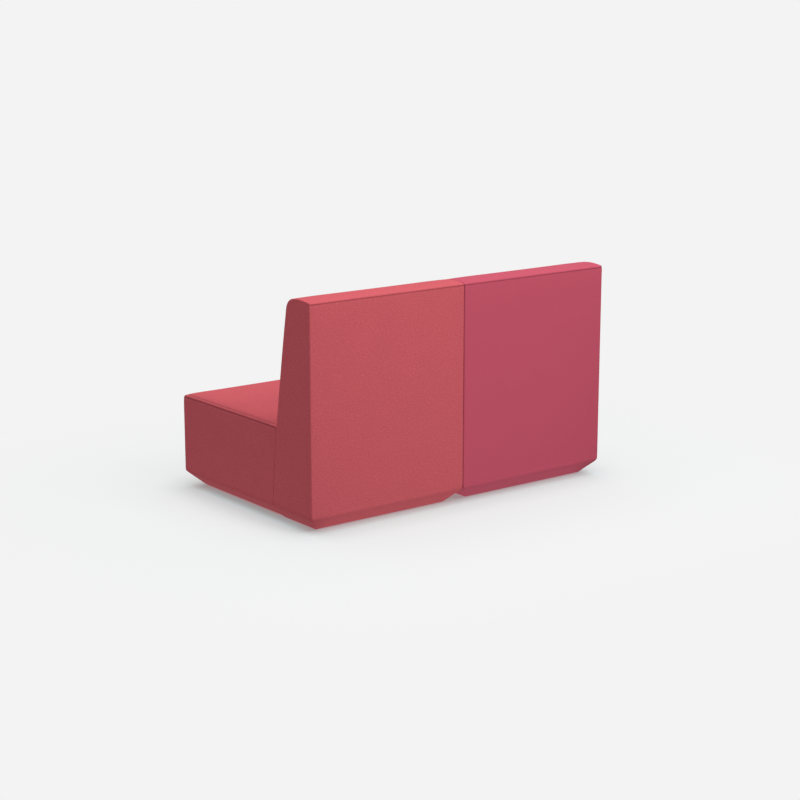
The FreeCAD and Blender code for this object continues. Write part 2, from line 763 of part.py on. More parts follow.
def seat_unit(module, holes, links):
    """Frame, webbing, foam and cover of one seat."""
    tag = module.name
    inner = seat_block(module, f"{tag}_seat_inside", dim.cover_thickness)
    outer = seat_block(module, f"{tag}_seat_outside", 0)
    bolt_holes = joint_holes(module, f"{tag}_seat_bolt", dim.bolt_diameter + dim.hole_clearance * 2)
    half, front, rear = seat_foot()
    opening = under_opening(module, f"{tag}_seat_opening", half, front, rear)
    module.node("seat_cover", cut(f"{tag}_seat_shell", outer, [inner, opening] + bolt_holes + holes + links))

    skin = dim.cover_thickness
    low, high = board_bottom(), board_top()
    run = dim.seat_bevel_run
    full = dim.module_width / 2
    front_face = -dim.sofa_depth / 2

    def limits(height):
        inset = bevel_inset(run, height)
        return inset - full, full - inset, front_face + inset, seat_rear(height, skin)

    board = module.tapered_board(f"{tag}_seat_board", limits(low), limits(high), low, high)
    module.node("seat_base_board", cut(f"{tag}_seat_board_drilled", board, holes + links))

    x = frame_half()
    frame_front = front_face + dim.frame_inset
    top, thick = dim.seat_rail_top, dim.rail_thickness
    side_top = top + dim.webbing_thickness

    def leaning(name, x_low, x_high, start, end, z_high):
        """A piece along x whose front and rear faces lean with the joint."""
        corners = [(start(high), high), (end(high), high), (end(z_high), z_high), (start(z_high), z_high)]
        return module.prism(name, "side", corners, x_low, x_high)

    def rail_rear(height):
        return seat_rear(height, skin)

    def rail_front(height):
        return rail_rear(height) - thick

    def block_front(height):
        return rail_front(height) - dim.corner_block_side

    rear_rail = leaning(f"{tag}_rear_rail_blank", -x, x, rail_front, rail_rear, top)
    module.node("seat_rear_rail", cut(f"{tag}_rear_rail", rear_rail, bolt_holes))
    module.node("seat_front_rail", module.box(
        f"{tag}_front_rail", (-x, frame_front, high), (x, frame_front + thick, top)))
    sides, blocks = [], []
    for side, sign in (("left", -1), ("right", 1)):
        face = x * sign
        inner_face = (x - thick) * sign
        block_face = (x - thick - dim.corner_block_side) * sign
        wall = (face, inner_face) if sign < 0 else (inner_face, face)
        post = (inner_face, block_face) if sign < 0 else (block_face, inner_face)
        corners = [
            (frame_front + thick, high),
            (rail_front(high), high),
            (rail_front(top), top),
            (rail_front(top), side_top),
            (frame_front + thick, side_top),
        ]
        sides.append(module.prism(f"{tag}_{side}_rail", "side", corners, *wall))
        post_front = frame_front + thick
        blocks.append(module.box(
            f"{tag}_{side}_front_block", (post[0], post_front, high),
            (post[1], post_front + dim.corner_block_side, top)))
        blocks.append(leaning(f"{tag}_{side}_rear_block", *post, block_front, rail_front, top))
    module.node("seat_side_rails", compound(f"{tag}_side_rails", sides))
    module.node("seat_corner_blocks", compound(f"{tag}_corner_blocks", blocks))

    seat_webbing(module, frame_front, rail_rear(top), top)

    foam_floor = side_top + dim.webbing_thickness
    far = dim.sofa_depth
    slab = module.box(f"{tag}_foam_slab", (-full, -far, foam_floor), (full, far, seat_top() * 2))
    module.node("seat_foam", common(f"{tag}_seat_foam_block", [inner, slab]))
    strips = [
        ("left", (-full, -far, high), (-x, far, foam_floor)),
        ("right", (x, -far, high), (full, far, foam_floor)),
        ("front", (-x, -far, high), (x, frame_front, foam_floor)),
    ]
    foam = [common(f"{tag}_{side}_strip", [inner, module.box(f"{tag}_{side}_strip_space", *space)])
            for side, *space in strips]
    module.node("seat_edge_foam", compound(f"{tag}_edge_foam", foam))
    dust_cover(module, "seat_dust_cover", half, front, rear)


def seat_webbing(module, front, rear, top):
    """Straps from front to rear on the rails, and straps across on top of them."""
    straps = []
    width, thick = dim.webbing_width, dim.webbing_thickness
    x = frame_half()
    clear = x - dim.rail_thickness
    long_pitch = clear * 2 / SEAT_STRAPS_LONG
    for number in range(SEAT_STRAPS_LONG):
        middle = long_pitch * (number + 0.5) - clear
        straps.append(module.box(
            f"{module.name}_long_strap_{number}", (middle - width / 2, front, top),
            (middle + width / 2, rear, top + thick)))
    cross_pitch = (rear - front - dim.rail_thickness * 2) / SEAT_STRAPS_CROSS
    for number in range(SEAT_STRAPS_CROSS):
        middle = front + dim.rail_thickness + cross_pitch * (number + 0.5)
        straps.append(module.box(
            f"{module.name}_cross_strap_{number}", (-x, middle - width / 2, top + thick),
            (x, middle + width / 2, top + thick * 2)))
    module.node("seat_webbing", compound(f"{module.name}_seat_straps", straps))


def back_unit(module, holes):
    """Frame, webbing, foam and cover of one back."""
    tag = module.name
    skin = dim.cover_thickness
    inner = back_block(module, f"{tag}_back_inside", skin)
    outer = back_block(module, f"{tag}_back_outside", 0)
    bolt_holes = joint_holes(module, f"{tag}_back_bolt", dim.bolt_diameter + dim.hole_clearance * 2)
    half, front, rear = back_foot()
    opening = under_opening(module, f"{tag}_back_opening", half, front, rear)
    module.node("back_cover", cut(f"{tag}_back_shell", outer, [inner, opening] + bolt_holes + holes))

    low, high = board_bottom(), board_top()
    full = dim.module_width / 2
    rear_face = dim.sofa_depth / 2

    def limits(height):
        inset = bevel_inset(dim.back_bevel_run, height)
        return inset - full, full - inset, back_front(height, skin), rear_face - inset

    board = module.tapered_board(f"{tag}_back_board", limits(low), limits(high), low, high)
    module.node("back_base_board", cut(f"{tag}_back_board_drilled", board, holes))

    gables = [gable(module, side) for side in ("left", "right")]
    module.node("back_gables", compound(f"{tag}_gables", gables))
    x = frame_half()
    clear = x - dim.board_thickness
    panel_top = joint_panel_top()
    panel = [
        (back_front(high, skin), high),
        (gable_low(high), high),
        (gable_low(panel_top), panel_top),
        (back_front(panel_top, skin), panel_top),
    ]
    nut_holes = joint_holes(module, f"{tag}_nut", dim.tee_nut_diameter + dim.fit_clearance * 2)
    blank = module.prism(f"{tag}_joint_panel_blank", "side", panel, -x, x)
    module.node("back_joint_panel", cut(f"{tag}_joint_panel", blank, nut_holes))

    panel_rear = rear_face - skin - dim.rear_padding
    panel_front = panel_rear - dim.rear_panel_thickness
    heel_height = high + panel_front - gable_heel()
    frame_top = back_frame_top()
    module.node("back_rear_panel", module.box(
        f"{tag}_rear_panel", (-x, panel_front, heel_height), (x, panel_rear, frame_top)))
    module.node("back_top_rail", module.box(
        f"{tag}_top_rail", (-clear, panel_front - dim.top_rail_width, frame_top - dim.rail_thickness),
        (clear, panel_front, frame_top)))
    half_rail = dim.middle_rail_width / 2
    module.node("back_middle_rail", module.box(
        f"{tag}_middle_rail", (-clear, panel_front - dim.rail_thickness, dim.middle_rail_height - half_rail),
        (clear, panel_front, dim.middle_rail_height + half_rail)))
    back_webbing(module)
    back_foam(module, inner, heel_height, panel_rear, panel_front)
    dust_cover(module, "back_dust_cover", half, front, rear)


def back_webbing(module):
    """Straps across the leaning front edges of the gables."""
    straps = []
    x = frame_half()
    low, high = joint_panel_top(), back_frame_top()
    pitch = (high - low) / BACK_STRAPS
    thick = dim.webbing_thickness
    for number in range(BACK_STRAPS):
        middle = low + pitch * (number + 0.5)
        bottom, top = middle - dim.webbing_width / 2, middle + dim.webbing_width / 2
        corners = [
            (webbing_line(bottom) - thick, bottom),
            (webbing_line(bottom), bottom),
            (webbing_line(top), top),
            (webbing_line(top) - thick, top),
        ]
        straps.append(module.prism(f"{module.name}_back_strap_{number}", "side", corners, -x, x))
    module.node("back_webbing", compound(f"{module.name}_back_straps", straps))


def back_foam(module, inner, heel_height, panel_rear, panel_front):
    """Front, top, rear and side padding between the frame and the cover."""
    tag = module.name
    x = frame_half()
    full = dim.module_width / 2
    far = dim.sofa_depth
    foot, top, step = board_top(), back_frame_top(), joint_panel_top()
    thick = dim.webbing_thickness
    front_space = [
        (-far, step),
        (webbing_line(step) - thick, step),
        (webbing_line(top) - thick, top),
        (-far, top),
    ]
    rear_space = [
        (gable_heel(), foot),
        (far, foot),
        (far, top),
        (panel_rear, top),
        (panel_rear, heel_height),
        (panel_front, heel_height),
    ]

    def filled(name, space):
        return common(f"{tag}_{name}", [inner, space])

    module.node("back_front_foam", filled(
        "front_foam", module.prism(f"{tag}_front_space", "side", front_space, -x, x)))
    module.node("back_rear_foam", filled(
        "rear_foam", module.prism(f"{tag}_rear_space", "side", rear_space, -x, x)))
    headroom = dim.back_seam_height * 2
    module.node("back_top_foam", filled(
        "top_foam", module.box(f"{tag}_top_space", (-x, -far, top), (x, far, headroom))))
    sides = [filled(f"{side}_side_foam", module.box(
        f"{tag}_{side}_side_space", (low, -far, foot), (high, far, headroom)))
        for side, low, high in (("left", -full, -x), ("right", x, full))]
    module.node("back_side_foam", compound(f"{tag}_side_foam", sides))


def check_document():
    """Stops unless every object was rebuilt and every piece is a valid solid."""
    for item in doc.Objects:
        if "Invalid" in item.State or "Error" in item.State:
            raise RuntimeError(f"{item.Name} was not rebuilt: {item.State}")
    for item in nodes:
        if item.Shape.isNull() or not item.Shape.isValid() or not item.Shape.Solids:
            raise RuntimeError(f"{item.Label} is not a valid solid")


def build():
    all_link_holes = []
    for name, side in MODULES:
        module = Module(name, side)
        links = link_holes(side)
        all_link_holes += links
        holes = glide_hardware(module)
        seat_unit(module, holes["seat"], links)
        back_unit(module, holes["back"])
        joint_hardware(module)
    screw = screw_section("link_screw_section", dim.glide_height - dim.link_thickness)
    screws = []
    for row, y in link_rows().items():
        link_plate(row, y, all_link_holes)
        for name, side in MODULES:
            screws.append(turned(f"{name}_{row}_link_screw", screw, link_screw_reach() * side, y, ZERO))
    node("link_screws", compound("link_screw_set", screws))


build()
doc.recompute()
check_document()
os.makedirs("parts", exist_ok=True)
for piece in nodes:
    piece.Shape.exportStep(f"parts/{piece.Label}.step")
    print(piece.Label, len(piece.Shape.Solids), round(piece.Shape.Volume / 1e6, 4))
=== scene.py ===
"""Upholstery, finishes and studio stage of a high-back two-seat sofa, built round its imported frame."""
import math

import bpy
import numpy as np
from bpy.props import FloatProperty, FloatVectorProperty, PointerProperty
from bpy.types import Operator, Panel, PropertyGroup
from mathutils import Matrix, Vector


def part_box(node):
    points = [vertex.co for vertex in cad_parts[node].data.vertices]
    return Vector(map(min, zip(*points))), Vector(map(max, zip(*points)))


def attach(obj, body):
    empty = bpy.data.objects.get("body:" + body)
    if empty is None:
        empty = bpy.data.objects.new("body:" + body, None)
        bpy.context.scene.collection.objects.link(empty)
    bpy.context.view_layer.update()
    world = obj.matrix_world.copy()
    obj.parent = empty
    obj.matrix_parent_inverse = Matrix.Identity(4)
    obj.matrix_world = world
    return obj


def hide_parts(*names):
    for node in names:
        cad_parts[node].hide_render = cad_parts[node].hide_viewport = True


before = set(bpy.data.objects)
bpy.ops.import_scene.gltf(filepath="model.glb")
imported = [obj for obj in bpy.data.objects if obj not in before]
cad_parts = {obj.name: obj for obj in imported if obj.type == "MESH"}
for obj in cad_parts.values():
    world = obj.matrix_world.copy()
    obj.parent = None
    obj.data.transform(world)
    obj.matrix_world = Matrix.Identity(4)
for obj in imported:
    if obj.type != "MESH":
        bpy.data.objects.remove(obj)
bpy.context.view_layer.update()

bl_info = {
    "name": "Two-seat sofa",
    "version": (1, 0, 0),
    "blender": (4, 5, 0),
    "location": "3D View > Sidebar > Sofa",
    "description": "Builds the upholstery, finishes and stage of a two-seat sofa",
    "category": "Object",
}

MODULES = ("coral", "berry")
BODY = "root"

# Sample counts along the sides of a cover.
ACROSS_DEPTH = 44
UP_BEVEL = 12
UP_PANEL = 50
ACROSS_WIDTH = 72
OUTLINE_STEP = 0.0005
NORMAL_REACH = 0.001
# How strongly the samples gather at the seams.
GATHER_PANEL = 2.1
GATHER_BEVEL = 1.4
GATHER_WIDTH = 2.5
RELAX_STEPS = 12
# Points nearer than one part in this number of a metre are joined.
WELD_PARTS = 1e6

# Lengths over which the rolls, swells and seams of a cover change, and a place just short of its end.
EASE = 0.03
FOOT_EASE = 0.002
FOLD_EASE = 0.005
JOINT_EASE = 0.010
LOOP_END = 1e-6
# Where the topstitches start and end, from the rear and the front edge of the seat top.
TOPSTITCH_REAR = 0.012
TOPSTITCH_FRONT = 0.020
# Share of the rounding at the top of the bevel over which the side panels bend.
FOLD_SOFTNESS = 0.25

# How deep the seams are pulled in and how dark the painted shade in their creases is, and how dark the
# painted shade line at the topstitches is; from 1 on the painted crease shade is at its darkest.
PLAIN_SEAM = 1.0
TOPSTITCH_PAINTED_SHADE = 1.4
REAR_SEAM = 0.8
CORNER_SEAM = 0.2
JOINT_SEAM = 0.08
# How far round the rolled corner the upright rear seams sit, as a share of the quarter turn.
REAR_SEAM_TURN = 0.45

# Painted shade in the creases: how much of the fabric's colour is lost in the darkest crease.
CREASE_PAINTED_SHADE = 0.42
# Painted shade beside the topstitches, even out to the edge and fading inwards: how much, how far in, and
# over what length it fades in from both ends of the row.
BESIDE_STITCH_PAINTED_SHADE = 0.38
BESIDE_STITCH_SHADE_REACH = 0.028
BESIDE_STITCH_SHADE_START = 0.04
# Share of the floor's bounce from the foot outwards to the far distance, in front and behind.
BOUNCE_SHARES = ((0.07, 0.82), (0.15, 0.605), (0.5, 0.605), (0.93, 1.0))

# The crown of the filling: how far from a rolled edge and a seam it builds up, and its share of the swell.
EDGE_REACH = 0.010
CROWN_REACH = 0.05
CROWN_SHARE = 0.6
# Swell of the bevels, of the rear seam and at most of a place that stays still.
BEVEL_SWELL = 0.0005
SEAM_SWELL = 0.0006
STILL_SWELL = 2e-4
# Share of the seat top's swell that is reached close to its rear edge.
REAR_SHARE = 0.6
# The side panels swell less low down: share of the swell there, and the height over which it grows.
LOW_SHARE = 0.3
LOW_RISE = 0.05

# The cloth that swells: frames, pressure, the distance from a seam within which it is held, stiffness.
SIM_FRAMES = 20
CLOTH_PRESSURE = 4.0
HELD_GAP = 1e-3
CLOTH_STIFFNESS = {"tension": 40.0, "compression": 40.0, "shear": 20.0, "bending": 5.0}

# Ripples beside the seams, in radians per metre: along y, along z, slantwise, and how they sway.
RIPPLE_Y = 210.0
RIPPLE_Z = 173.0
RIPPLE_SLANT = 331.0
SWAY = 2.0
SWAY_Y = 41.0
SWAY_Z = 37.0

# A stitch: rings along it, points in a ring, bluntness of its ends, chord for its direction, lift in radii.
STITCH_RINGS = 6
STITCH_SIDES = 5
STITCH_BLUNT = 0.03
STITCH_CHORD = 0.002
STITCH_LIFT = 0.35

# Share of the half depth from which the contact colour of the floor fades out, and shares of the half
# width between which its bounce changes to the sideways one.
CONTACT_END = 0.75
SIDEWAYS_BAND = (0.95, 1.05)
# Height at which the rear lamp is aimed, height of the overhead lamp, and the camera's sensor in mm.
AIM_HEIGHT = 0.5
OVERHEAD_HEIGHT = 3.0
SENSOR_WIDTH = 36.0


def length(name, default, description):
    """A length in metres."""
    return FloatProperty(
        name=name, description=description, default=default, subtype="DISTANCE", unit="LENGTH")


def colour(name, default, description):
    """A colour in linear light."""
    return FloatVectorProperty(
        name=name, description=description, default=default, size=3, min=0.0, max=1.0, subtype="COLOR")


def amount(name, default, description):
    """A strength from 0 up."""
    return FloatProperty(name=name, description=description, default=default, min=0.0)


def share(name, default, description):
    """A share from 0 to 1."""
    return FloatProperty(
        name=name, description=description, default=default, min=0.0, max=1.0, subtype="FACTOR")


def spot(name, default, description, subtype="TRANSLATION"):
    """A place in metres."""
    return FloatVectorProperty(
        name=name, description=description, default=default, size=3, subtype=subtype, unit="LENGTH")


def heading(name, default, description):
    """A direction."""
    return FloatVectorProperty(
        name=name, description=description, default=default, size=3, subtype="DIRECTION")


class CoverSizes(PropertyGroup):
    """Sizes that the covers of seat and back share."""

    floor: length("Underside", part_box("coral_seat_cover")[0][2], "Floor to the underside of the covers")
    bevel_rise: length("Bevel rise", 0.059, "Height of the bevel round the foot")
    foot_fold: length("Foot fold", 0.004, "Rounding of the fold at the underside")
    edge_roll: length("Edge roll", 0.004, "Radius of the covers along their upright side seams")
    joint_roll: length("Joint roll", 0.0016, "The same radius where seat and back meet")
    seam_depth: length("Seam depth", 0.0028, "How far a seam pulls the cover in")
    seam_width: length("Seam width", 0.0026, "Half width of the groove at a seam")
    # Half width of the painted shade in a seam's crease.
    painted_crease_width: length("Crease width", 0.0028, "Half width of the darker crease at a seam")
    pucker: length("Puckers", 0.0004, "Height of the small ripples beside the seams")
    pucker_reach: length("Pucker reach", 0.018, "How far those ripples run out from a seam")
    side_swell: length("Side swell", 0.0005, "How far the side panels swell")
    fullness: length("Fullness", 0.0009, "How far the side seams stand proud of the packed covers")


class SeatSizes(PropertyGroup):
    """Sizes of the seat cover."""

    top: length("Top", 0.395, "Floor to the seat top at its edges")
    bevel_run: length("Bevel run", 0.065, "How far the bevel runs in under the seat")
    bevel_fold: length("Bevel fold", 0.012, "Rounding of the fold at the top of the bevel")
    front_radius: length("Front radius", 0.014, "Rounding of the front edge")
    rear_radius: length("Rear radius", 0.010, "Rounding of the rear edge")
    top_roll: length("Top roll", 0.009, "Radius of the cover along the side seams of the seat top")
    swell: length("Swell", 0.004, "How far the seat top swells")
    front_swell: length("Front swell", 0.005, "How far the front panel swells")
    front_fullness: length("Front fullness", 0.003, "How far the front stands proud of the packed cover")
    topstitch: length("Topstitch", 0.0065, "Rolled edge to the row of topstitches")
    # Half width of the painted shade line at the topstitches.
    topstitch_painted_shade_width: length("Topstitch width", 0.0042, "Half width of the darker crease at the topstitches")
    topstitch_depth: length("Topstitch depth", 0.0017, "How far the topstitches pull the cover in")
    stitch_pitch: length("Stitch pitch", 0.0065, "Distance from one stitch to the next")
    stitch_length: length("Stitch length", 0.0046, "Length of a stitch")
    thread: length("Thread", 0.0006, "Radius of the thread")


class BackSizes(PropertyGroup):
    """Sizes of the back cover, measured from its rear panel."""

    bevel_run: length("Bevel run", 0.059, "How far the bevel runs in under the back")
    bevel_fold: length("Bevel fold", 0.020, "Rounding of the fold at the top of the bevel")
    depth_at_base: length("Depth at base", 0.276, "Depth at the underside")
    depth_at_seat: length("Depth at seat", 0.2366, "Depth at the height of the seat seam")
    seat_seam: length("Seat seam", 0.388, "Floor to the seam along the seat sides")
    joint_gap: length("Joint gap", 0.0006, "Gap between the covers of seat and back")
    seam: length("Rear seam", 0.905, "Floor to the seam above the rear panel")
    rounding: length("Rounding", 0.009, "Rounding above that seam")
    top_front: length("Top front", 0.1165, "Rear panel to the front end of the rounded top")
    top_front_rise: length("Top front rise", 0.0105, "Height of that end above the seam")
    top_bow: length("Top bow", 0.0045, "Rise of the rounded top")
    shoulder_depth: length("Shoulder depth", 0.1575, "Depth below the front shoulder")
    shoulder_drop: length("Shoulder drop", 0.028, "Rear seam down to the foot of the shoulder")
    shoulder_bow: length("Shoulder bow", 0.0081, "Bulge of the front shoulder")
    front_bow: length("Front bow", 0.0028, "Swell of the face that is leant on")
    rear_swell: length("Rear swell", 0.0025, "How far the rear panel swells")
    top_swell: length("Top swell", 0.002, "How far the rounded top swells")
    front_swell: length("Front swell", 0.004, "How far the face that is leant on swells")


class FabricLooks(PropertyGroup):
    """Colours and scale of the two fabrics."""

    coral: colour("Coral", (0.494, 0.089, 0.107), "Main colour of the heathered felt")
    coral_light: colour("Coral light", (0.590, 0.135, 0.152), "Its light fibres")
    coral_dark: colour("Coral dark", (0.390, 0.058, 0.074), "Its dark fibres")
    coral_thread: colour("Coral thread", (0.40, 0.066, 0.082), "Sewing thread of the felt")
    berry: colour("Berry", (0.445, 0.072, 0.112), "Main colour of the plain weave")
    berry_light: colour("Berry light", (0.453, 0.074, 0.115), "Its light threads")
    berry_dark: colour("Berry dark", (0.436, 0.070, 0.109), "Its dark threads")
    berry_thread: colour("Berry thread", (0.37, 0.056, 0.090), "Sewing thread of the weave")
    felt_pitch: length("Felt pitch", 0.0026, "Size of the grain of the felt")
    weave_pitch: length("Weave pitch", 0.0016, "Distance from one thread of the weave to the next")


class StageLooks(PropertyGroup):
    """Light, floor and camera of the stage."""

    floor: colour("Floor", (0.622, 0.63, 0.63), "Colour of the floor")
    # Painted tints: the cooler floor colour near the sofa, and the contact colour beside its two sides,
    # cancel the pink light that the sofa bounces into the floor's shade.
    floor_beside_painted_tint: colour("Floor beside", (0.545, 0.642, 0.646), "Cooler colour of the floor beside the sofa")
    floor_contact_painted_tint: colour("Floor contact", (0.45, 0.95, 0.95), "The same under the bevels of the two sides")
    # Reach of the painted contact tint.
    contact: length("Contact", 0.10, "How far out that colour runs")
    bounce: amount("Bounce", 1.09, "Strength of the light that the floor throws back")
    bounce_sideways: amount("Bounce sideways", 0.76, "The same on the two sides of the sofa")
    background: colour("Background", (0.896, 0.896, 0.896), "What the camera sees far from the sofa")
    floor_size: length("Floor size", 40.0, "Side of the floor")
    footprint: spot("Footprint", (0.69, 0.40, 0.0), "Half width and half depth on the floor", "XYZ_LENGTH")
    contact_fade: share("Contact fade", 0.24, "Share of background in the floor beside the sofa")
    near_fade: share("Near fade", 0.72, "Share of background in the floor a step away")
    near: length("Near", 0.26, "How far that step is")
    far: length("Far", 1.4, "Where the floor has faded into the background")
    sky: amount("Sky", 0.12, "Strength of the light from all round")
    overhead: amount("Overhead", 3.30, "Strength of the soft light from above")
    overhead_spread: FloatProperty(
        name="Overhead spread", description="Softness of the light from above", default=1.7,
        subtype="ANGLE", unit="ROTATION")
    overhead_from: heading("Overhead from", (0.0, 0.0, 1.0), "Where the light from above comes from")
    rear: amount("Rear", 136.0, "Strength of the light on the rear panels")
    rear_size: length("Rear size", 2.2, "Side of the light on the rear panels")
    rear_place: spot("Rear place", (-0.3, 4.5, 3.7), "Where the light on the rear panels hangs")
    camera_place: spot("Camera place", (4.6191, 6.0425, 2.11473), "Where the camera stands")
    camera_ahead: heading("Camera ahead", (-0.594227, -0.771886, -0.226025), "Where the camera looks")
    lens: FloatProperty(
        name="Lens", description="Focal length on a sensor 36 mm wide", default=82.576,
        subtype="DISTANCE_CAMERA", unit="CAMERA")


class SofaSettings(PropertyGroup):
    """All settings of the sofa."""

    cover: PointerProperty(type=CoverSizes)
    seat: PointerProperty(type=SeatSizes)
    back: PointerProperty(type=BackSizes)
    fabric: PointerProperty(type=FabricLooks)
    stage: PointerProperty(type=StageLooks)


def graded(count, pull):
    """Shares from 0 to 1 that gather at both ends: a hyperbolic tangent scaled to run from 0 to 1."""
    u = np.linspace(-1.0, 1.0, count)
    return 0.5 + 0.5 * np.tanh(pull * u) / math.tanh(pull)


def bowed_edge(start, end, bow):
    """Points from start to end: the straight run plus a parabola of height bow to one side of it."""
    run = end - start
    span = np.linalg.norm(run)
    t = np.linspace(0.0, 1.0, max(int(span / OUTLINE_STEP), 2), endpoint=False)[:, None]
    out = np.array((run[1], -run[0])) / span
    return start + run * t + out * (4.0 * bow * t * (1.0 - t))


def rounded_corner(before, corner, after, radius):
    """The circle arc of a radius that touches both edges at a corner, between its touching points."""
    if radius <= 0.0:
        return corner[None, :]
    back = (before - corner) / np.linalg.norm(before - corner)
    ahead = (after - corner) / np.linalg.norm(after - corner)
    half_angle = 0.5 * math.acos(float(np.clip(back @ ahead, -1.0, 1.0)))
    middle = (back + ahead) / np.linalg.norm(back + ahead)
    centre = corner + middle * radius / math.sin(half_angle)
    reach = radius / math.tan(half_angle)
    first, last = corner + back * reach - centre, corner + ahead * reach - centre
    turn = math.atan2(first[0] * last[1] - first[1] * last[0], first @ last)
    count = max(int(abs(turn) * radius / OUTLINE_STEP), 3)
    angle = math.atan2(first[1], first[0]) + np.linspace(0.0, turn, count)
    return centre + radius * np.stack((np.cos(angle), np.sin(angle)), axis=1)


def outline(corners):
    """A closed line in side view through rows of y, z, rounding and bow of the edge that follows."""
    points = np.array([row[:2] for row in corners])
    rounding = [row[2] for row in corners]
    bows = [row[3] for row in corners]
    arcs = [rounded_corner(points[i - 1], points[i], points[(i + 1) % len(points)], rounding[i])
            for i in range(len(points))]
    runs = [bowed_edge(arcs[i][-1], arcs[(i + 1) % len(arcs)][0], bows[i]) for i in range(len(arcs))]
    line = np.concatenate([part for arc, run in zip(arcs, runs) for part in (arc[:-1], run)])
    keep = np.linalg.norm(line - np.roll(line, 1, axis=0), axis=1) > 1e-7
    return line[keep]


class Loop:
    """A closed side-view line, measured along its length from its first mark."""

    def __init__(self, line, marks):
        marks = np.array(marks)
        line = np.roll(line, -self.nearest(line, marks[0]), axis=0)
        self.line = np.vstack((line, line[:1]))
        self.at = np.concatenate(([0.0], np.cumsum(np.linalg.norm(np.diff(self.line, axis=0), axis=1))))
        self.marks = [self.at[self.nearest(line, mark)] for mark in marks] + [self.at[-1]]

    @staticmethod
    def nearest(line, point):
        return int(np.argmin(np.linalg.norm(line - point, axis=1)))

    def point(self, at):
        return np.stack([np.interp(at, self.at, self.line[:, k]) for k in (0, 1)], axis=-1)

    def outward(self, at):
        """The unit normal: the chord over two millimetres turned a quarter turn away from the inside."""
        total = self.at[-1]
        chord = self.point((at + NORMAL_REACH) % total) - self.point((at - NORMAL_REACH) % total)
        chord /= np.linalg.norm(chord, axis=-1, keepdims=True)
        return np.stack((chord[..., 1], -chord[..., 0]), axis=-1)

    def spread(self, places, values):
        """A function of the place along the loop that runs straight from value to value."""
        return lambda at: np.interp(at, places, values, period=self.at[-1])


def grid_quads(rows, columns, start, closed=False):
    """Corner indices of the quads of a grid, the last row joined to the first where it is closed."""
    index = start + np.arange(rows * columns).reshape(rows, columns)
    low = index if closed else index[:-1]
    high = np.roll(index, -1, axis=0) if closed else index[1:]
    return np.stack((low[:, :-1], low[:, 1:], high[:, 1:], high[:, :-1]), axis=-1).reshape(-1, 4)


def coons(low, high, left, right):
    """A patch between four edges: the two ruled surfaces added, less the bilinear one of the corners.

    A few steps that draw each inner point halfway to the mean of its neighbours open up the rounded corners.
    """
    u = share_along(low)[None, :, None]
    v = share_along(left)[:, None, None]
    ruled = (1 - v) * low[None] + v * high[None] + (1 - u) * left[:, None] + u * right[:, None]
    corners = ((1 - u) * (1 - v) * low[0] + u * (1 - v) * low[-1] + (1 - u) * v * high[0] + u * v * high[-1])
    patch = ruled - corners
    patch[0], patch[-1], patch[:, 0], patch[:, -1] = low, high, left, right
    for _ in range(RELAX_STEPS):
        around = patch[:-2, 1:-1] + patch[2:, 1:-1] + patch[1:-1, :-2] + patch[1:-1, 2:]
        patch[1:-1, 1:-1] = 0.5 * patch[1:-1, 1:-1] + 0.125 * around
    return patch


def bell(gap, width):
    """A bell curve: e to the minus square of the gap over the width."""
    return np.exp(-(gap / width) ** 2)


def share_along(line):
    """Where each point of a line lies along it, from 0 to 1."""
    run = np.concatenate(([0.0], np.cumsum(np.linalg.norm(np.diff(line, axis=0), axis=1))))
    return run / run[-1]


def vertex_normals(points, quads):
    """Unit normals: the cross products of the diagonals of all quads round a vertex, added."""
    corner = points[quads]
    cross = np.cross(corner[:, 2] - corner[:, 0], corner[:, 3] - corner[:, 1])
    total = np.zeros_like(points)
    for k in range(4):
        np.add.at(total, quads[:, k], cross)
    return total / np.maximum(np.linalg.norm(total, axis=1, keepdims=True), 1e-12)


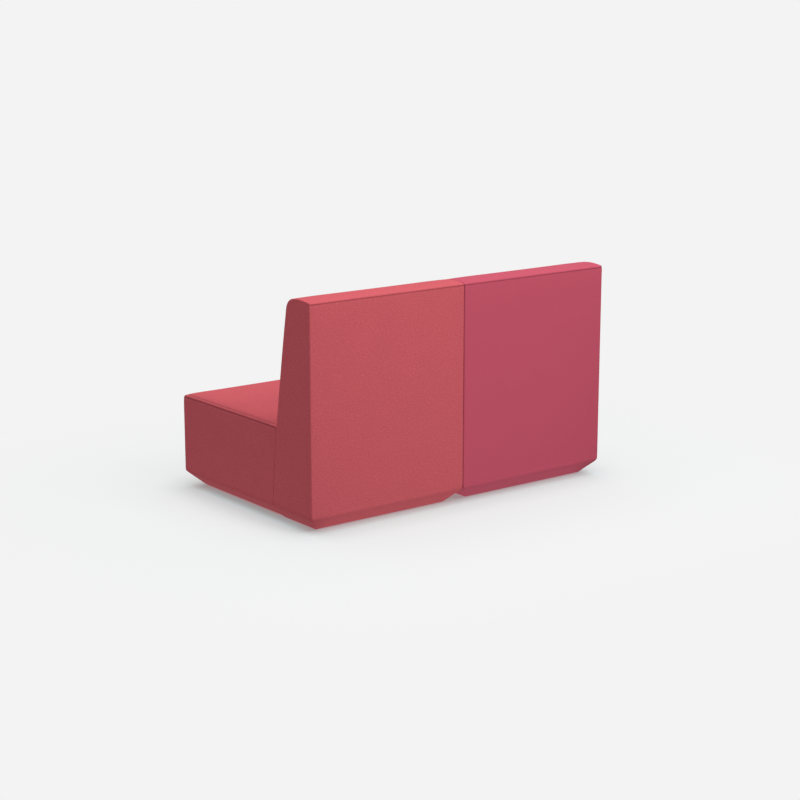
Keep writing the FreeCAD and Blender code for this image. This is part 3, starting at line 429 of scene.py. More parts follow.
class Cover:
    """A closed cover: a band that follows the side view, rolled over into a flat panel on each side.

    The band is the side-view line carried across the width. Near each side seam it turns through a
    quarter circle, so a point there lies in from the line by the radius less its cosine. Each side
    panel is a Coons patch between the seams, at the half width that belongs to its height.
    """

    def __init__(self, loop, half, bevel_run, bevel_fold, rolls, swells, turns, marks, crease_places, cover):
        self.loop = loop
        self.cover = cover
        self.half = half
        self.soft = FOLD_SOFTNESS * bevel_fold
        self.slope = bevel_run / cover.bevel_rise
        self.fold = cover.floor + cover.bevel_rise
        shares = [graded(ACROSS_DEPTH, GATHER_PANEL), graded(UP_BEVEL, GATHER_BEVEL),
                  graded(UP_PANEL, GATHER_PANEL)]
        order = [shares[0], shares[1], shares[2], shares[0], 1 - shares[2][::-1], 1 - shares[1][::-1]]
        ends = list(zip(loop.marks[:-1], loop.marks[1:]))
        self.along = np.concatenate([a + (b - a) * s[:-1] for (a, b), s in zip(ends, order)])
        self.roll = rolls(self.along)
        self.band_swell = swells(self.along)
        self.seam_shift = 0.5 * math.pi * self.roll * turns(self.along)
        self.mark = marks(self.along)
        # Widths of the groove and of the painted crease shade at a seam.
        self.mark_widths = (cover.seam_width, cover.painted_crease_width)
        self.band(crease_places)
        self.sides()
        self.weld()

    def half_width(self, z):
        """Constant above the fold, narrower below it by the slope of the bevel, with a soft fold between."""
        return self.half - self.slope * self.soft * np.logaddexp(0.0, (self.fold - z) / self.soft)

    def band(self, crease_places):
        """The band on its grid, with the distance past the rolled edge and the marks of its seams."""
        at, roll = self.along[:, None], self.roll[:, None]
        line, out = self.loop.point(self.along), self.loop.outward(self.along)
        flat = 2.0 * (self.half_width(line[:, 1])[:, None] - roll)
        girth = flat + math.pi * roll
        across = graded(ACROSS_WIDTH, GATHER_WIDTH)[None, :] * girth
        from_seam = np.minimum(across, girth - across)
        angle = np.maximum(0.5 * math.pi - from_seam / roll, 0.0)
        inset = roll * (1.0 - np.cos(angle))
        yz = line[:, None, :] - out[:, None, :] * inset[..., None]
        side = np.where(np.arange(ACROSS_WIDTH) < ACROSS_WIDTH // 2, -1.0, 1.0)[None, :]
        past_roll = np.maximum(from_seam - 0.5 * math.pi * roll, 0.0)
        x = side * (self.half_width(yz[..., 1]) - roll * (1.0 - np.sin(angle)) - past_roll)
        self.band_grid = np.concatenate((x[..., None], yz), axis=-1)
        self.band_uv = np.stack((across - 0.5 * girth, np.broadcast_to(at, x.shape)), axis=-1)
        crease = np.full(x.shape, np.inf)
        total = self.loop.at[-1]
        for place in crease_places:
            gap = np.abs(at - place)
            crease = np.minimum(crease, np.minimum(gap, total - gap))
        edge_gap = np.abs(from_seam - self.seam_shift[:, None])
        self.band_seam = np.minimum(edge_gap, crease)
        mark = self.mark[:, None]
        # Two marks per point: how deep the groove is, and how dark the painted crease shade is.
        self.band_marks = [np.maximum(mark * bell(edge_gap, width), REAR_SEAM * bell(crease, width))
                           for width in self.mark_widths]
        self.past_roll = past_roll

    def sides(self):
        """Lower and upper patch of one side panel, stacked, with their distance to the seam round them."""
        edge = self.band_grid[:, 0, 1:]
        n, b, p = ACROSS_DEPTH - 1, UP_BEVEL - 1, UP_PANEL - 1
        stops = np.cumsum([0, n, b, p, n, p, b])
        runs = [np.arange(stops[k], stops[k + 1] + 1) % len(edge) for k in range(6)]
        bottom, rear_low, rear_high, top, front_high, front_low = [edge[run] for run in runs]
        share = share_along(bottom)[:, None]
        fold = front_low[0] + (rear_low[-1] - front_low[0]) * share
        lower = coons(bottom, fold, front_low[::-1], rear_low)
        upper = coons(fold, top[::-1], front_high[::-1], rear_high)
        yz = np.concatenate((lower, upper[1:]))
        self.side_shape = yz.shape[:2]

        def at_borders(values):
            rear = np.concatenate((values[runs[1]], values[runs[2]][1:]))
            front = np.concatenate((values[runs[5]][::-1], values[runs[4]][::-1][1:]))
            return values[runs[0]][None], values[runs[3]][None, ::-1], front[:, None], rear[:, None]

        borders = zip((yz[:1], yz[-1:], yz[:, :1], yz[:, -1:]), at_borders(self.seam_shift))
        gaps = [np.linalg.norm(yz - border, axis=-1) + past for border, past in borders]
        self.side_seam = np.min(gaps, axis=0)
        marks = at_borders(self.mark)
        # The same two marks on the side panels: groove depth and painted crease shade.
        self.side_marks = [np.max([mark * bell(gap, width) for gap, mark in zip(gaps, marks)], axis=0)
                           for width in self.mark_widths]
        x = self.half_width(yz[..., 1])
        above = np.clip((yz[..., 1] - self.fold) / LOW_RISE, 0.0, 1.0)
        self.side_swell = self.cover.side_swell * (LOW_SHARE + (1.0 - LOW_SHARE) * above)
        self.side_grids = [np.concatenate((sign * x[..., None], yz), axis=-1) for sign in (-1.0, 1.0)]
        self.side_uv = yz

    def weld(self):
        """Joins the three grids where they share points, with every quad turned outwards."""
        grids = [self.band_grid] + self.side_grids
        points = np.concatenate([grid.reshape(-1, 3) for grid in grids])
        uv = np.concatenate([self.band_uv.reshape(-1, 2)] + [self.side_uv.reshape(-1, 2)] * 2)
        seam = np.concatenate([self.band_seam.ravel()] + [self.side_seam.ravel()] * 2)
        inside = 1.0 - np.exp(-self.past_roll / EDGE_REACH)
        swell = np.concatenate([(self.band_swell[:, None] * inside).ravel()] + [self.side_swell.ravel()] * 2)
        rows, columns = self.band_grid.shape[:2]
        quads = [grid_quads(rows, columns, 0, closed=True)]
        start = rows * columns
        for _ in self.side_grids:
            quads.append(grid_quads(*self.side_shape, start))
            start += self.side_shape[0] * self.side_shape[1]
        middle = 0.5 * (points.min(axis=0) + points.max(axis=0))
        for k, part in enumerate(quads):
            corner = points[part]
            normal = np.cross(corner[:, 2] - corner[:, 0], corner[:, 3] - corner[:, 1])
            if np.sum(normal * (corner.mean(axis=1) - middle)) < 0.0:
                quads[k] = part[:, ::-1]
        quads = np.concatenate(quads)
        self.loop_uv = uv[quads.ravel()]
        _, first, self.joined = np.unique(
            np.round(points * WELD_PARTS).astype(np.int64), axis=0, return_index=True, return_inverse=True)
        self.joined = self.joined.ravel()
        self.points, self.seam, self.swell = points[first], seam[first], swell[first]
        np.minimum.at(self.seam, self.joined, seam)
        # The groove pulls the cover in; the crease is painted shade that darkens the fabric at the seams.
        marks = [np.concatenate((band.ravel(), side.ravel(), side.ravel()))
                 for band, side in zip(self.band_marks, self.side_marks)]
        self.groove, self.crease = np.zeros((2, len(first)))
        np.maximum.at(self.groove, self.joined, marks[0])
        np.maximum.at(self.crease, self.joined, marks[1])
        self.quads = self.joined[quads]
        self.band_index = self.joined[: rows * columns].reshape(rows, columns)

    def swollen(self):
        """The points after the filling has pushed the panels out.

        The filling is crowned: each point moves along its normal by a share of the swell of its place,
        less an exponential of the distance to the seam. Cloth under pressure does the rest.
        """
        normals = vertex_normals(self.points, self.quads)
        crown = self.swell * (1.0 - np.exp(-self.seam / CROWN_REACH))
        return self.inflate(self.points + CROWN_SHARE * normals * crown[:, None])

    def inflate(self, points):
        """Runs cloth under pressure with the seams held, and limits each move to its share of the swell."""
        piece = new_mesh_object("swelling_cover", points, self.quads)
        held = (self.swell < STILL_SWELL) | (self.seam < HELD_GAP)
        group = piece.vertex_groups.new(name="held")
        group.add([int(k) for k in np.flatnonzero(held)], 1.0, "REPLACE")
        modifier = piece.modifiers.new("swelling", "CLOTH")
        settings = modifier.settings
        settings.vertex_group_mass = "held"
        settings.use_pressure = True
        settings.uniform_pressure_force = CLOTH_PRESSURE
        settings.effector_weights.gravity = 0.0
        for kind, stiffness in CLOTH_STIFFNESS.items():
            setattr(settings, f"{kind}_stiffness", stiffness)
        modifier.collision_settings.use_collision = False
        modifier.point_cache.frame_start = 1
        modifier.point_cache.frame_end = SIM_FRAMES
        scene = bpy.context.scene
        for number in range(1, SIM_FRAMES + 1):
            scene.frame_set(number)
        shown = piece.evaluated_get(bpy.context.evaluated_depsgraph_get())
        after = np.empty(len(points) * 3, dtype=np.float32)
        shown.data.vertices.foreach_get("co", after)
        move = after.reshape(-1, 3).astype(float) - points
        mesh = piece.data
        bpy.data.objects.remove(piece)
        bpy.data.meshes.remove(mesh)
        scene.frame_set(1)
        size = np.linalg.norm(move, axis=1)
        if not np.isfinite(size).all():
            raise RuntimeError("the swelling of a cover did not settle")
        limit = np.maximum((1.0 - CROWN_SHARE) * self.swell, 1e-6)
        return points + move * (limit * np.tanh(size / limit) / np.maximum(size, 1e-9))[:, None]

    def sewn(self, points, extra=None):
        """Pulls the seams in, by a bell curve of the distance to them, plus small ripples that die out."""
        cover = self.cover
        normals = vertex_normals(points, self.quads)
        _, y, z = self.points.T
        along_y = np.sin(RIPPLE_Y * y + SWAY * np.sin(SWAY_Z * z))
        along_z = np.sin(RIPPLE_Z * z + SWAY * np.sin(SWAY_Y * y))
        ripple = along_y + along_z + np.sin(RIPPLE_SLANT * (y + z))
        ripple *= cover.pucker / 3.0 * np.exp(-self.seam / cover.pucker_reach) * (self.swell > STILL_SWELL)
        depth = cover.seam_depth * self.groove - ripple
        if extra is not None:
            depth = depth + extra
        return points - normals * depth[:, None]


def new_mesh_object(name, points, quads, loop_uv=None, crease=None):
    """A mesh object at the origin, with a UV map in metres and, if given, a painted crease shade per point.
    """
    mesh = bpy.data.meshes.new(name)
    count = len(quads)
    mesh.vertices.add(len(points))
    mesh.vertices.foreach_set("co", np.ascontiguousarray(points, dtype=np.float32).ravel())
    mesh.loops.add(count * 4)
    mesh.loops.foreach_set("vertex_index", np.ascontiguousarray(quads, dtype=np.int32).ravel())
    mesh.polygons.add(count)
    mesh.polygons.foreach_set("loop_start", np.arange(0, count * 4, 4, dtype=np.int32))
    mesh.polygons.foreach_set("loop_total", np.full(count, 4, dtype=np.int32))
    mesh.polygons.foreach_set("use_smooth", np.ones(count, dtype=bool))
    mesh.update(calc_edges=True)
    if loop_uv is not None:
        layer = mesh.uv_layers.new(name="metres")
        layer.data.foreach_set("uv", np.ascontiguousarray(loop_uv, dtype=np.float32).ravel())
    if crease is not None:
        layer = mesh.attributes.new("seam_crease", "FLOAT", "POINT")
        layer.data.foreach_set("value", np.ascontiguousarray(crease, dtype=np.float32))
    piece = bpy.data.objects.new(name, mesh)
    bpy.context.scene.collection.objects.link(piece)
    return piece


def subdivided(piece):
    """A piece with one level of smoothing."""
    modifier = piece.modifiers.new("smooth", "SUBSURF")
    modifier.levels = 1
    modifier.render_levels = 1
    return piece


def module_frame(module, unit):
    """Middle and half width of one unit of a module, from its packed cover."""
    low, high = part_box(f"{module}_{unit}_cover")
    return 0.5 * (low[0] + high[0]), 0.5 * (high[0] - low[0])


def sofa_depth():
    """The y of the front of the seat and of the rear panel, which lie evenly about the origin."""
    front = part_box("coral_seat_cover")[0][1]
    return front, -front


def joint_line(settings, z):
    """The y of the line on which seat and back meet, at a height."""
    back = settings.back
    _, rear = sofa_depth()
    lean = (back.depth_at_base - back.depth_at_seat) / (back.seat_seam - settings.cover.floor)
    return rear - back.depth_at_base + lean * (z - settings.cover.floor)


def seat_cover(settings):
    """The cover of one seat about its own middle."""
    cover, seat = settings.cover, settings.seat
    front = sofa_depth()[0] - seat.front_fullness
    floor, fold = cover.floor, cover.floor + cover.bevel_rise
    gap = 0.5 * settings.back.joint_gap

    def rear(z):
        return joint_line(settings, z) - gap

    corners = [
        (front + seat.bevel_run, floor, cover.foot_fold, 0.0),
        (rear(floor), floor, cover.foot_fold, 0.0),
        (rear(seat.top), seat.top, seat.rear_radius, 0.0),
        (front, seat.top, seat.front_radius, 0.0),
        (front, fold, seat.bevel_fold, 0.0),
    ]
    places = [row[:2] for row in corners]
    loop = Loop(outline(corners), places[:2] + [(rear(fold), fold)] + places[2:])
    foot_front, foot_rear, joint_fold, top_rear, top_front, fold_front, end = loop.marks
    rolls = loop.spread(
        [foot_front, top_rear - EASE, top_rear, top_front, top_front + EASE, fold_front],
        [cover.joint_roll, cover.joint_roll, seat.top_roll, seat.top_roll, cover.edge_roll, cover.edge_roll])
    swells = loop.spread(
        [foot_front + FOOT_EASE, foot_rear, top_rear - EASE, top_rear + EASE, top_rear + 5 * EASE,
         top_front - 3 * EASE, top_front + EASE, fold_front - EASE, fold_front, end - FOLD_EASE],
        [0.0, 0.0, 0.0, REAR_SHARE * seat.swell, seat.swell,
         seat.swell, seat.front_swell, seat.front_swell, BEVEL_SWELL, BEVEL_SWELL])
    half = module_frame("coral", "seat")[1] + cover.fullness
    marks = loop.spread(
        [foot_front, foot_rear, joint_fold, top_rear - EASE, top_rear,
         top_front, top_front + EASE, fold_front, end - LOOP_END],
        [0.0, 0.0, JOINT_SEAM, JOINT_SEAM, PLAIN_SEAM,
         PLAIN_SEAM, CORNER_SEAM, CORNER_SEAM, 0.0])
    built = Cover(
        loop, half, seat.bevel_run, seat.bevel_fold, rolls, swells, np.zeros_like, marks, [], cover)
    built.top_span = (top_rear + TOPSTITCH_REAR, top_front - TOPSTITCH_FRONT)
    return built


def back_cover(settings):
    """The cover of one back about its own middle."""
    cover, back = settings.cover, settings.back
    _, rear = sofa_depth()
    floor, fold = cover.floor, cover.floor + cover.bevel_rise
    gap = 0.5 * back.joint_gap

    def front(z):
        return joint_line(settings, z) + gap

    quarter = 1.0 - math.sqrt(0.5)
    corners = [
        (front(floor), floor, cover.foot_fold, 0.0),
        (rear - back.bevel_run, floor, cover.foot_fold, 0.0),
        (rear, fold, back.bevel_fold, 0.0),
        (rear, back.seam, 0.0, back.rounding * quarter),
        (rear - back.rounding, back.seam + back.rounding, 0.0, back.top_bow),
        (rear - back.top_front, back.seam + back.top_front_rise, 0.0, back.shoulder_bow),
        (rear - back.shoulder_depth, back.seam - back.shoulder_drop, 0.0, back.front_bow),
        (front(back.seat_seam), back.seat_seam, 0.0, 0.0),
    ]
    places = [row[:2] for row in corners]
    loop = Loop(outline(corners), places[:4] + [places[6], (front(fold), fold)])
    foot_front, foot_rear, fold_rear, rear_seam, shoulder, joint_fold, end = loop.marks
    seat_at = loop.at[loop.nearest(loop.line[:-1], np.array(places[7]))]
    rolls = loop.spread(
        [foot_front, foot_rear, fold_rear, seat_at - 2 * EASE, seat_at, end - LOOP_END],
        [cover.joint_roll, cover.joint_roll, cover.edge_roll, cover.edge_roll,
         cover.joint_roll, cover.joint_roll])
    swells = loop.spread(
        [foot_front, foot_rear - FOOT_EASE, foot_rear + FOLD_EASE, fold_rear,
         fold_rear + 3 * EASE, rear_seam - 2 * EASE, rear_seam, rear_seam + EASE, shoulder - EASE,
         shoulder + 4 * EASE, seat_at - 4 * EASE, seat_at - JOINT_EASE, end - LOOP_END],
        [0.0, 0.0, BEVEL_SWELL, BEVEL_SWELL,
         back.rear_swell, back.rear_swell, SEAM_SWELL, back.top_swell, back.top_swell,
         back.front_swell, back.front_swell, 0.0, 0.0])
    half = module_frame("coral", "back")[1] + cover.fullness
    turns = loop.spread(
        [foot_rear - EASE, foot_rear, rear_seam - EASE, rear_seam + FOLD_EASE],
        [0.0, REAR_SEAM_TURN, REAR_SEAM_TURN, 0.0])
    marks = loop.spread(
        [foot_front, foot_rear, fold_rear, rear_seam - EASE, rear_seam + EASE, joint_fold, end - LOOP_END],
        [0.0, 0.0, CORNER_SEAM, CORNER_SEAM, JOINT_SEAM, JOINT_SEAM, 0.0])
    return Cover(
        loop, half, back.bevel_run, back.bevel_fold, rolls, swells, turns, marks, [rear_seam], cover)


def placed(module, points, quads, loop_uv=None):
    """A mesh at the middle of its module: coral as built, berry as its mirror image."""
    middle, _ = module_frame(module, "seat")
    shift = np.array((middle, 0.0, 0.0))
    if middle >= 0.0:
        return points + shift, quads, loop_uv
    if loop_uv is not None:
        loop_uv = loop_uv.reshape(-1, 4, 2)[:, ::-1].reshape(-1, 2)
    return points * np.array((-1.0, 1.0, 1.0)) + shift, quads[:, ::-1], loop_uv


def lay_stitches(path, normals, pitch, span, radius):
    """Small spindles along a line: rings of points whose radius follows a half ellipse."""
    run = share_along(path) * np.sum(np.linalg.norm(np.diff(path, axis=0), axis=1))
    places = np.arange(pitch, run[-1] - pitch, pitch)

    def on_path(values, at):
        return np.stack([np.interp(at, run, values[:, k]) for k in range(3)], axis=1)

    middle = on_path(path, places)
    ahead = on_path(path, places + STITCH_CHORD) - on_path(path, places - STITCH_CHORD)
    ahead /= np.linalg.norm(ahead, axis=1, keepdims=True)
    up = on_path(normals, places)
    up -= ahead * np.sum(up * ahead, axis=1, keepdims=True)
    up /= np.linalg.norm(up, axis=1, keepdims=True)
    across = np.cross(ahead, up)
    along = np.linspace(-1.0, 1.0, STITCH_RINGS)
    width = radius * np.sqrt(np.clip(1.0 + STITCH_BLUNT - along ** 2, 0.0, 1.0))
    angle = np.linspace(0.0, 2.0 * math.pi, STITCH_SIDES, endpoint=False)
    ring = np.stack((
        np.broadcast_to((0.5 * span * along)[:, None], (STITCH_RINGS, STITCH_SIDES)),
        width[:, None] * np.cos(angle), width[:, None] * np.sin(angle)), axis=-1)
    axes = np.stack((ahead, across, up), axis=1)
    points = middle[:, None, None] + np.einsum("ijk,nkl->nijl", ring, axes)
    index = np.arange(STITCH_RINGS * STITCH_SIDES).reshape(STITCH_RINGS, STITCH_SIDES)
    around = np.roll(index, -1, axis=1)
    quads = np.stack((index[:-1], around[:-1], around[1:], index[1:]), axis=-1).reshape(-1, 4)
    quads = quads[None] + index.size * np.arange(len(places))[:, None, None]
    return points.reshape(-1, 3), quads.reshape(-1, 4)


def feed(tree, socket, value):
    """Links a socket to another one, or sets its value."""
    if isinstance(value, bpy.types.NodeSocket):
        tree.links.new(value, socket)
    else:
        socket.default_value = value


def add_node(tree, kind, inputs=(), **settings):
    """A node with its settings and its inputs, each a socket to link or a value to set."""
    node = tree.nodes.new(kind)
    for key, value in settings.items():
        setattr(node, key, value)
    for key, value in dict(inputs).items():
        feed(tree, node.inputs[key], value)
    return node


def seen_rays(tree):
    """1 for rays that come from the camera, straight, off a gloss or through glass, and 0 for the others."""
    ray = add_node(tree, "ShaderNodeLightPath").outputs
    also = add_node(tree, "ShaderNodeMath", {
        0: ray["Is Glossy Ray"], 1: ray["Is Transmission Ray"]}, operation="MAXIMUM").outputs[0]
    return add_node(tree, "ShaderNodeMath", {
        0: ray["Is Camera Ray"], 1: also}, operation="MAXIMUM").outputs[0]


class Finish:
    """A procedural material, with its nodes added in order."""

    def __init__(self, name):
        self.material = bpy.data.materials.new(name)
        self.material.use_nodes = True
        self.tree = self.material.node_tree
        self.shader = self.tree.nodes["Principled BSDF"]

    def add(self, kind, inputs=(), **settings):
        return add_node(self.tree, kind, inputs, **settings)

    def set(self, **inputs):
        """Feeds the inputs of the shader, with an underscore for each blank in their names."""
        for key, value in inputs.items():
            feed(self.tree, self.shader.inputs[key.replace("_", " ")], value)

    def uv(self):
        return self.add("ShaderNodeUVMap", uv_map="metres").outputs["UV"]

    def place(self):
        return self.add("ShaderNodeTexCoord").outputs["Object"]

    def stretched(self, vector, scale):
        return self.add("ShaderNodeMapping", {"Vector": vector, "Scale": scale}).outputs["Vector"]

    def noise(self, vector, scale, detail=2.0, roughness=0.5, distortion=0.0):
        return self.add("ShaderNodeTexNoise", {
            "Vector": vector, "Scale": scale, "Detail": detail, "Roughness": roughness,
            "Distortion": distortion}).outputs["Fac"]

    def vector(self, operation, a, b=(0.0, 0.0, 0.0)):
        return self.add("ShaderNodeVectorMath", {0: a, 1: b}, operation=operation).outputs[0]

    def math(self, operation, a, b=0.0):
        return self.add("ShaderNodeMath", {0: a, 1: b}, operation=operation).outputs[0]

    def ramp(self, factor, stops):
        node = self.add("ShaderNodeValToRGB", {"Fac": factor})
        elements = node.color_ramp.elements
        while len(elements) < len(stops):
            elements.new(1.0)
        for element, (position, shade) in zip(elements, stops):
            element.position = position
            element.color = (*shade, 1.0)
        return node.outputs["Color"]

    def remap(self, value, low, high, start=0.0, end=1.0, easing="LINEAR"):
        """Runs from low to high while the value runs from start to end."""
        return self.add("ShaderNodeMapRange", {
            "Value": value, "From Min": start, "From Max": end, "To Min": low, "To Max": high},
            interpolation_type=easing).outputs["Result"]

    def mix(self, factor, a, b, blend="MIX"):
        node = self.add("ShaderNodeMix", {0: factor, 6: a, 7: b}, data_type="RGBA", blend_type=blend)
        return node.outputs[2]

    def bump(self, height, strength, distance, normal=None):
        inputs = {"Height": height, "Strength": strength, "Distance": distance}
        if normal is not None:
            inputs["Normal"] = normal
        return self.add("ShaderNodeBump", inputs).outputs["Normal"]

    def with_painted_crease_shade(self, shade):
        """A colour darkened by painted shade in the creases at the seams."""
        crease = self.add("ShaderNodeAttribute", attribute_name="seam_crease").outputs["Fac"]
        dark = self.ramp(crease, [(0.0, (1.0, 1.0, 1.0)), (1.0, (1.0 - CREASE_PAINTED_SHADE,) * 3)])
        return self.mix(1.0, shade, dark, "MULTIPLY")

    def threads(self, vector, pitch):
        """Height of a plain weave: one minus the product of two sines, a thread pitch per half wave."""
        parts = self.add("ShaderNodeSeparateXYZ", {"Vector": vector}).outputs
        waves = [self.math("SINE", self.math("MULTIPLY", parts[k], math.pi / pitch)) for k in (0, 1)]
        return self.math("MULTIPLY_ADD", self.math("MULTIPLY", *waves), 0.5)


def felt(name, fabric):
    """Heathered felt: light and dark fibres over a main colour, softly clouded and napped."""
    finish = Finish(name)
    uv, place = finish.uv(), finish.place()
    grain = 1.0 / fabric.felt_pitch
    fibre = finish.noise(finish.stretched(uv, (1.0, 0.45, 1.0)), grain, 3.0, 0.65, 0.6)
    cross = finish.noise(finish.stretched(uv, (0.4, 1.0, 1.0)), grain * 0.8, 3.0, 0.6, 0.5)
    blend = finish.math("ADD", finish.math("MULTIPLY", fibre, 0.55), finish.math("MULTIPLY", cross, 0.45))
    shade = finish.ramp(blend, [
        (0.36, fabric.coral_dark), (0.47, fabric.coral), (0.54, fabric.coral), (0.65, fabric.coral_light)])
    cloud = finish.noise(place, 9.0, 3.0, 0.55)
    worn = finish.ramp(cloud, [(0.3, (0.975, 0.975, 0.975)), (0.7, (1.0, 1.0, 1.0))])
    # The base colour carries the painted shade in the creases at the seams.
    finish.set(Base_Color=finish.with_painted_crease_shade(finish.mix(1.0, shade, worn, "MULTIPLY")))
    nap = finish.noise(uv, 900.0, 2.0, 0.6)
    normal = finish.bump(blend, 0.55, 0.0012)
    finish.set(
        Normal=finish.bump(nap, 0.25, 0.0006, normal), Roughness=finish.remap(blend, 0.84, 0.98),
        Specular_IOR_Level=0.06)
    return finish.material


def plain_weave(name, fabric):
    """Plain weave: raised threads of slightly uneven colour in both directions."""
    finish = Finish(name)
    uv, place = finish.uv(), finish.place()
    grain = 1.0 / fabric.weave_pitch
    warp = finish.noise(finish.stretched(uv, (1.0, 0.06, 1.0)), grain * 0.6, 2.0, 0.6)
    weft = finish.noise(finish.stretched(uv, (0.06, 1.0, 1.0)), grain * 0.6, 2.0, 0.6)
    slub = finish.math("ADD", finish.math("MULTIPLY", warp, 0.5), finish.math("MULTIPLY", weft, 0.5))
    shade = finish.ramp(slub, [(0.38, fabric.berry_dark), (0.5, fabric.berry), (0.62, fabric.berry_light)])
    cloud = finish.noise(place, 7.0, 2.0, 0.5)
    worn = finish.ramp(cloud, [(0.3, (0.985, 0.985, 0.985)), (0.7, (1.0, 1.0, 1.0))])
    weave = finish.threads(uv, fabric.weave_pitch)
    # The base colour carries the painted shade in the creases at the seams.
    finish.set(Base_Color=finish.with_painted_crease_shade(finish.mix(1.0, shade, worn, "MULTIPLY")))
    normal = finish.bump(weave, 0.35, 0.0005)
    finish.set(
        Normal=finish.bump(slub, 0.3, 0.0006, normal), Roughness=finish.remap(slub, 0.78, 0.92),
        Specular_IOR_Level=0.08)
    return finish.material


def sewing_thread(name, shade):
    """Twisted thread: fine slanted ridges, with a painted highlight that makes it a little lighter where
    they stand up.
    """
    finish = Finish(name)
    place = finish.place()
    twist = finish.noise(finish.stretched(place, (1.0, 0.3, 1.0)), 2500.0, 1.0)
    # The lighter colour is a painted highlight on the raised parts of the twist.
    light = tuple(min(1.0, 1.25 * value) for value in shade)
    finish.set(
        Base_Color=finish.ramp(twist, [(0.35, shade), (0.65, light)]),
        Roughness=finish.remap(twist, 0.55, 0.75), Normal=finish.bump(twist, 0.4, 0.0002))
    return finish.material


def plywood():
    """Birch plywood: veneers stacked through the thickness, with fine grain along the board."""
    finish = Finish("birch_plywood")
    place = finish.place()
    plies = finish.math("SINE", finish.math("MULTIPLY", finish.add(
        "ShaderNodeSeparateXYZ", {"Vector": place}).outputs[2], 2.0 * math.pi / 0.003))
    grain = finish.noise(finish.stretched(place, (4.0, 90.0, 90.0)), 4.0, 4.0, 0.6, 0.4)
    height = finish.math("ADD", finish.math("MULTIPLY", plies, 0.12), grain)
    finish.set(
        Base_Color=finish.ramp(height, [(0.25, (0.44, 0.29, 0.16)), (0.5, (0.62, 0.45, 0.27)),
                                        (0.8, (0.72, 0.57, 0.38))]),
        Roughness=finish.remap(grain, 0.55, 0.75), Normal=finish.bump(grain, 0.2, 0.0006))
    return finish.material


def timber():
    """Beech: long grain with short darker flecks."""
    finish = Finish("beech_timber")
    place = finish.place()
    grain = finish.noise(finish.stretched(place, (3.0, 60.0, 60.0)), 3.0, 5.0, 0.6, 0.8)
    fleck = finish.noise(finish.stretched(place, (40.0, 300.0, 300.0)), 3.0, 1.0)
    wood = finish.ramp(grain, [(0.3, (0.42, 0.24, 0.13)), (0.7, (0.63, 0.41, 0.25))])
    flecks = finish.ramp(fleck, [(0.45, (0.62, 0.42, 0.26)), (0.62, (0.33, 0.18, 0.10))])
    finish.set(
        Base_Color=finish.mix(0.25, wood, flecks),
        Roughness=finish.remap(grain, 0.5, 0.7), Normal=finish.bump(grain, 0.25, 0.0006))
    return finish.material


def hardboard():
    """Hardboard: pressed brown fibres."""
    finish = Finish("hardboard")
    fibres = finish.noise(finish.place(), 700.0, 4.0, 0.7, 1.0)
    finish.set(
        Base_Color=finish.ramp(fibres, [(0.3, (0.12, 0.065, 0.033)), (0.7, (0.25, 0.15, 0.085))]),
        Roughness=finish.remap(fibres, 0.6, 0.8), Normal=finish.bump(fibres, 0.3, 0.0004))
    return finish.material


def webbing():
    """Elastic webbing: pale rubber threads with darker stripes."""
    finish = Finish("elastic_webbing")
    place = finish.place()
    parts = finish.add("ShaderNodeSeparateXYZ", {"Vector": place}).outputs
    slant = finish.math("ADD", parts[0], parts[1])
    ribs = finish.math("SINE", finish.math("MULTIPLY", slant, math.pi / 0.002))
    dust = finish.noise(place, 120.0, 3.0)
    finish.set(
        Base_Color=finish.ramp(dust, [(0.3, (0.045, 0.042, 0.040)), (0.7, (0.11, 0.10, 0.095))]),
        Roughness=finish.remap(dust, 0.7, 0.9), Normal=finish.bump(ribs, 0.5, 0.0004))
    return finish.material


def dust_cloth():
    """Black non-woven cloth: pressed fibres in a fine dotted grid."""
    finish = Finish("dust_cloth")
    place = finish.place()
    fibres = finish.noise(place, 450.0, 4.0, 0.7)
    dots = finish.threads(place, 0.0012)
    finish.set(
        Base_Color=finish.ramp(fibres, [(0.3, (0.012, 0.012, 0.013)), (0.7, (0.040, 0.040, 0.042))]),
        Roughness=finish.remap(fibres, 0.75, 0.95), Normal=finish.bump(dots, 0.4, 0.0003))
    return finish.material


def zinc_steel():
    """Zinc-plated steel: pale metal with a faint spangle and fine scratches."""
    finish = Finish("zinc_steel")
    place = finish.place()
    spangle = finish.noise(place, 260.0, 3.0, 0.6)
    scratch = finish.noise(finish.stretched(place, (20.0, 900.0, 900.0)), 2.0, 2.0)
    finish.set(
        Base_Color=finish.ramp(spangle, [(0.3, (0.50, 0.51, 0.52)), (0.7, (0.66, 0.66, 0.65))]),
        Metallic=1.0, Roughness=finish.remap(scratch, 0.28, 0.48), Normal=finish.bump(scratch, 0.15, 0.0002))
    return finish.material


def glide_plastic():
    """Black moulded plastic with a fine matt grain and scuffs."""
    finish = Finish("glide_plastic")
    place = finish.place()
    grain = finish.noise(place, 1400.0, 2.0)
    scuff = finish.noise(place, 90.0, 4.0, 0.7)
    finish.set(
        Base_Color=finish.ramp(scuff, [(0.4, (0.018, 0.018, 0.019)), (0.75, (0.055, 0.055, 0.056))]),
        Roughness=finish.remap(scuff, 0.42, 0.68), Normal=finish.bump(grain, 0.3, 0.0002))
    return finish.material


def fabric_of(module, fabric):
    """The fabric of a module, made once."""
    name, make = {"coral": ("coral_felt", felt), "berry": ("berry_weave", plain_weave)}[module]
    made = bpy.data.materials.get(name)
    return make(name, fabric) if made is None else made


def upholster(name, module, points, cover, crease, fabric, nodes):
    """A padded piece that stands for the cover and the foam of one unit."""
    piece = new_mesh_object(name, *placed(module, points, cover.quads, cover.loop_uv), crease)
    piece.data.materials.append(fabric_of(module, fabric))
    subdivided(piece)
    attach(piece, BODY)
    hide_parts(*[f"{module}_{node}" for node in nodes])
    return piece


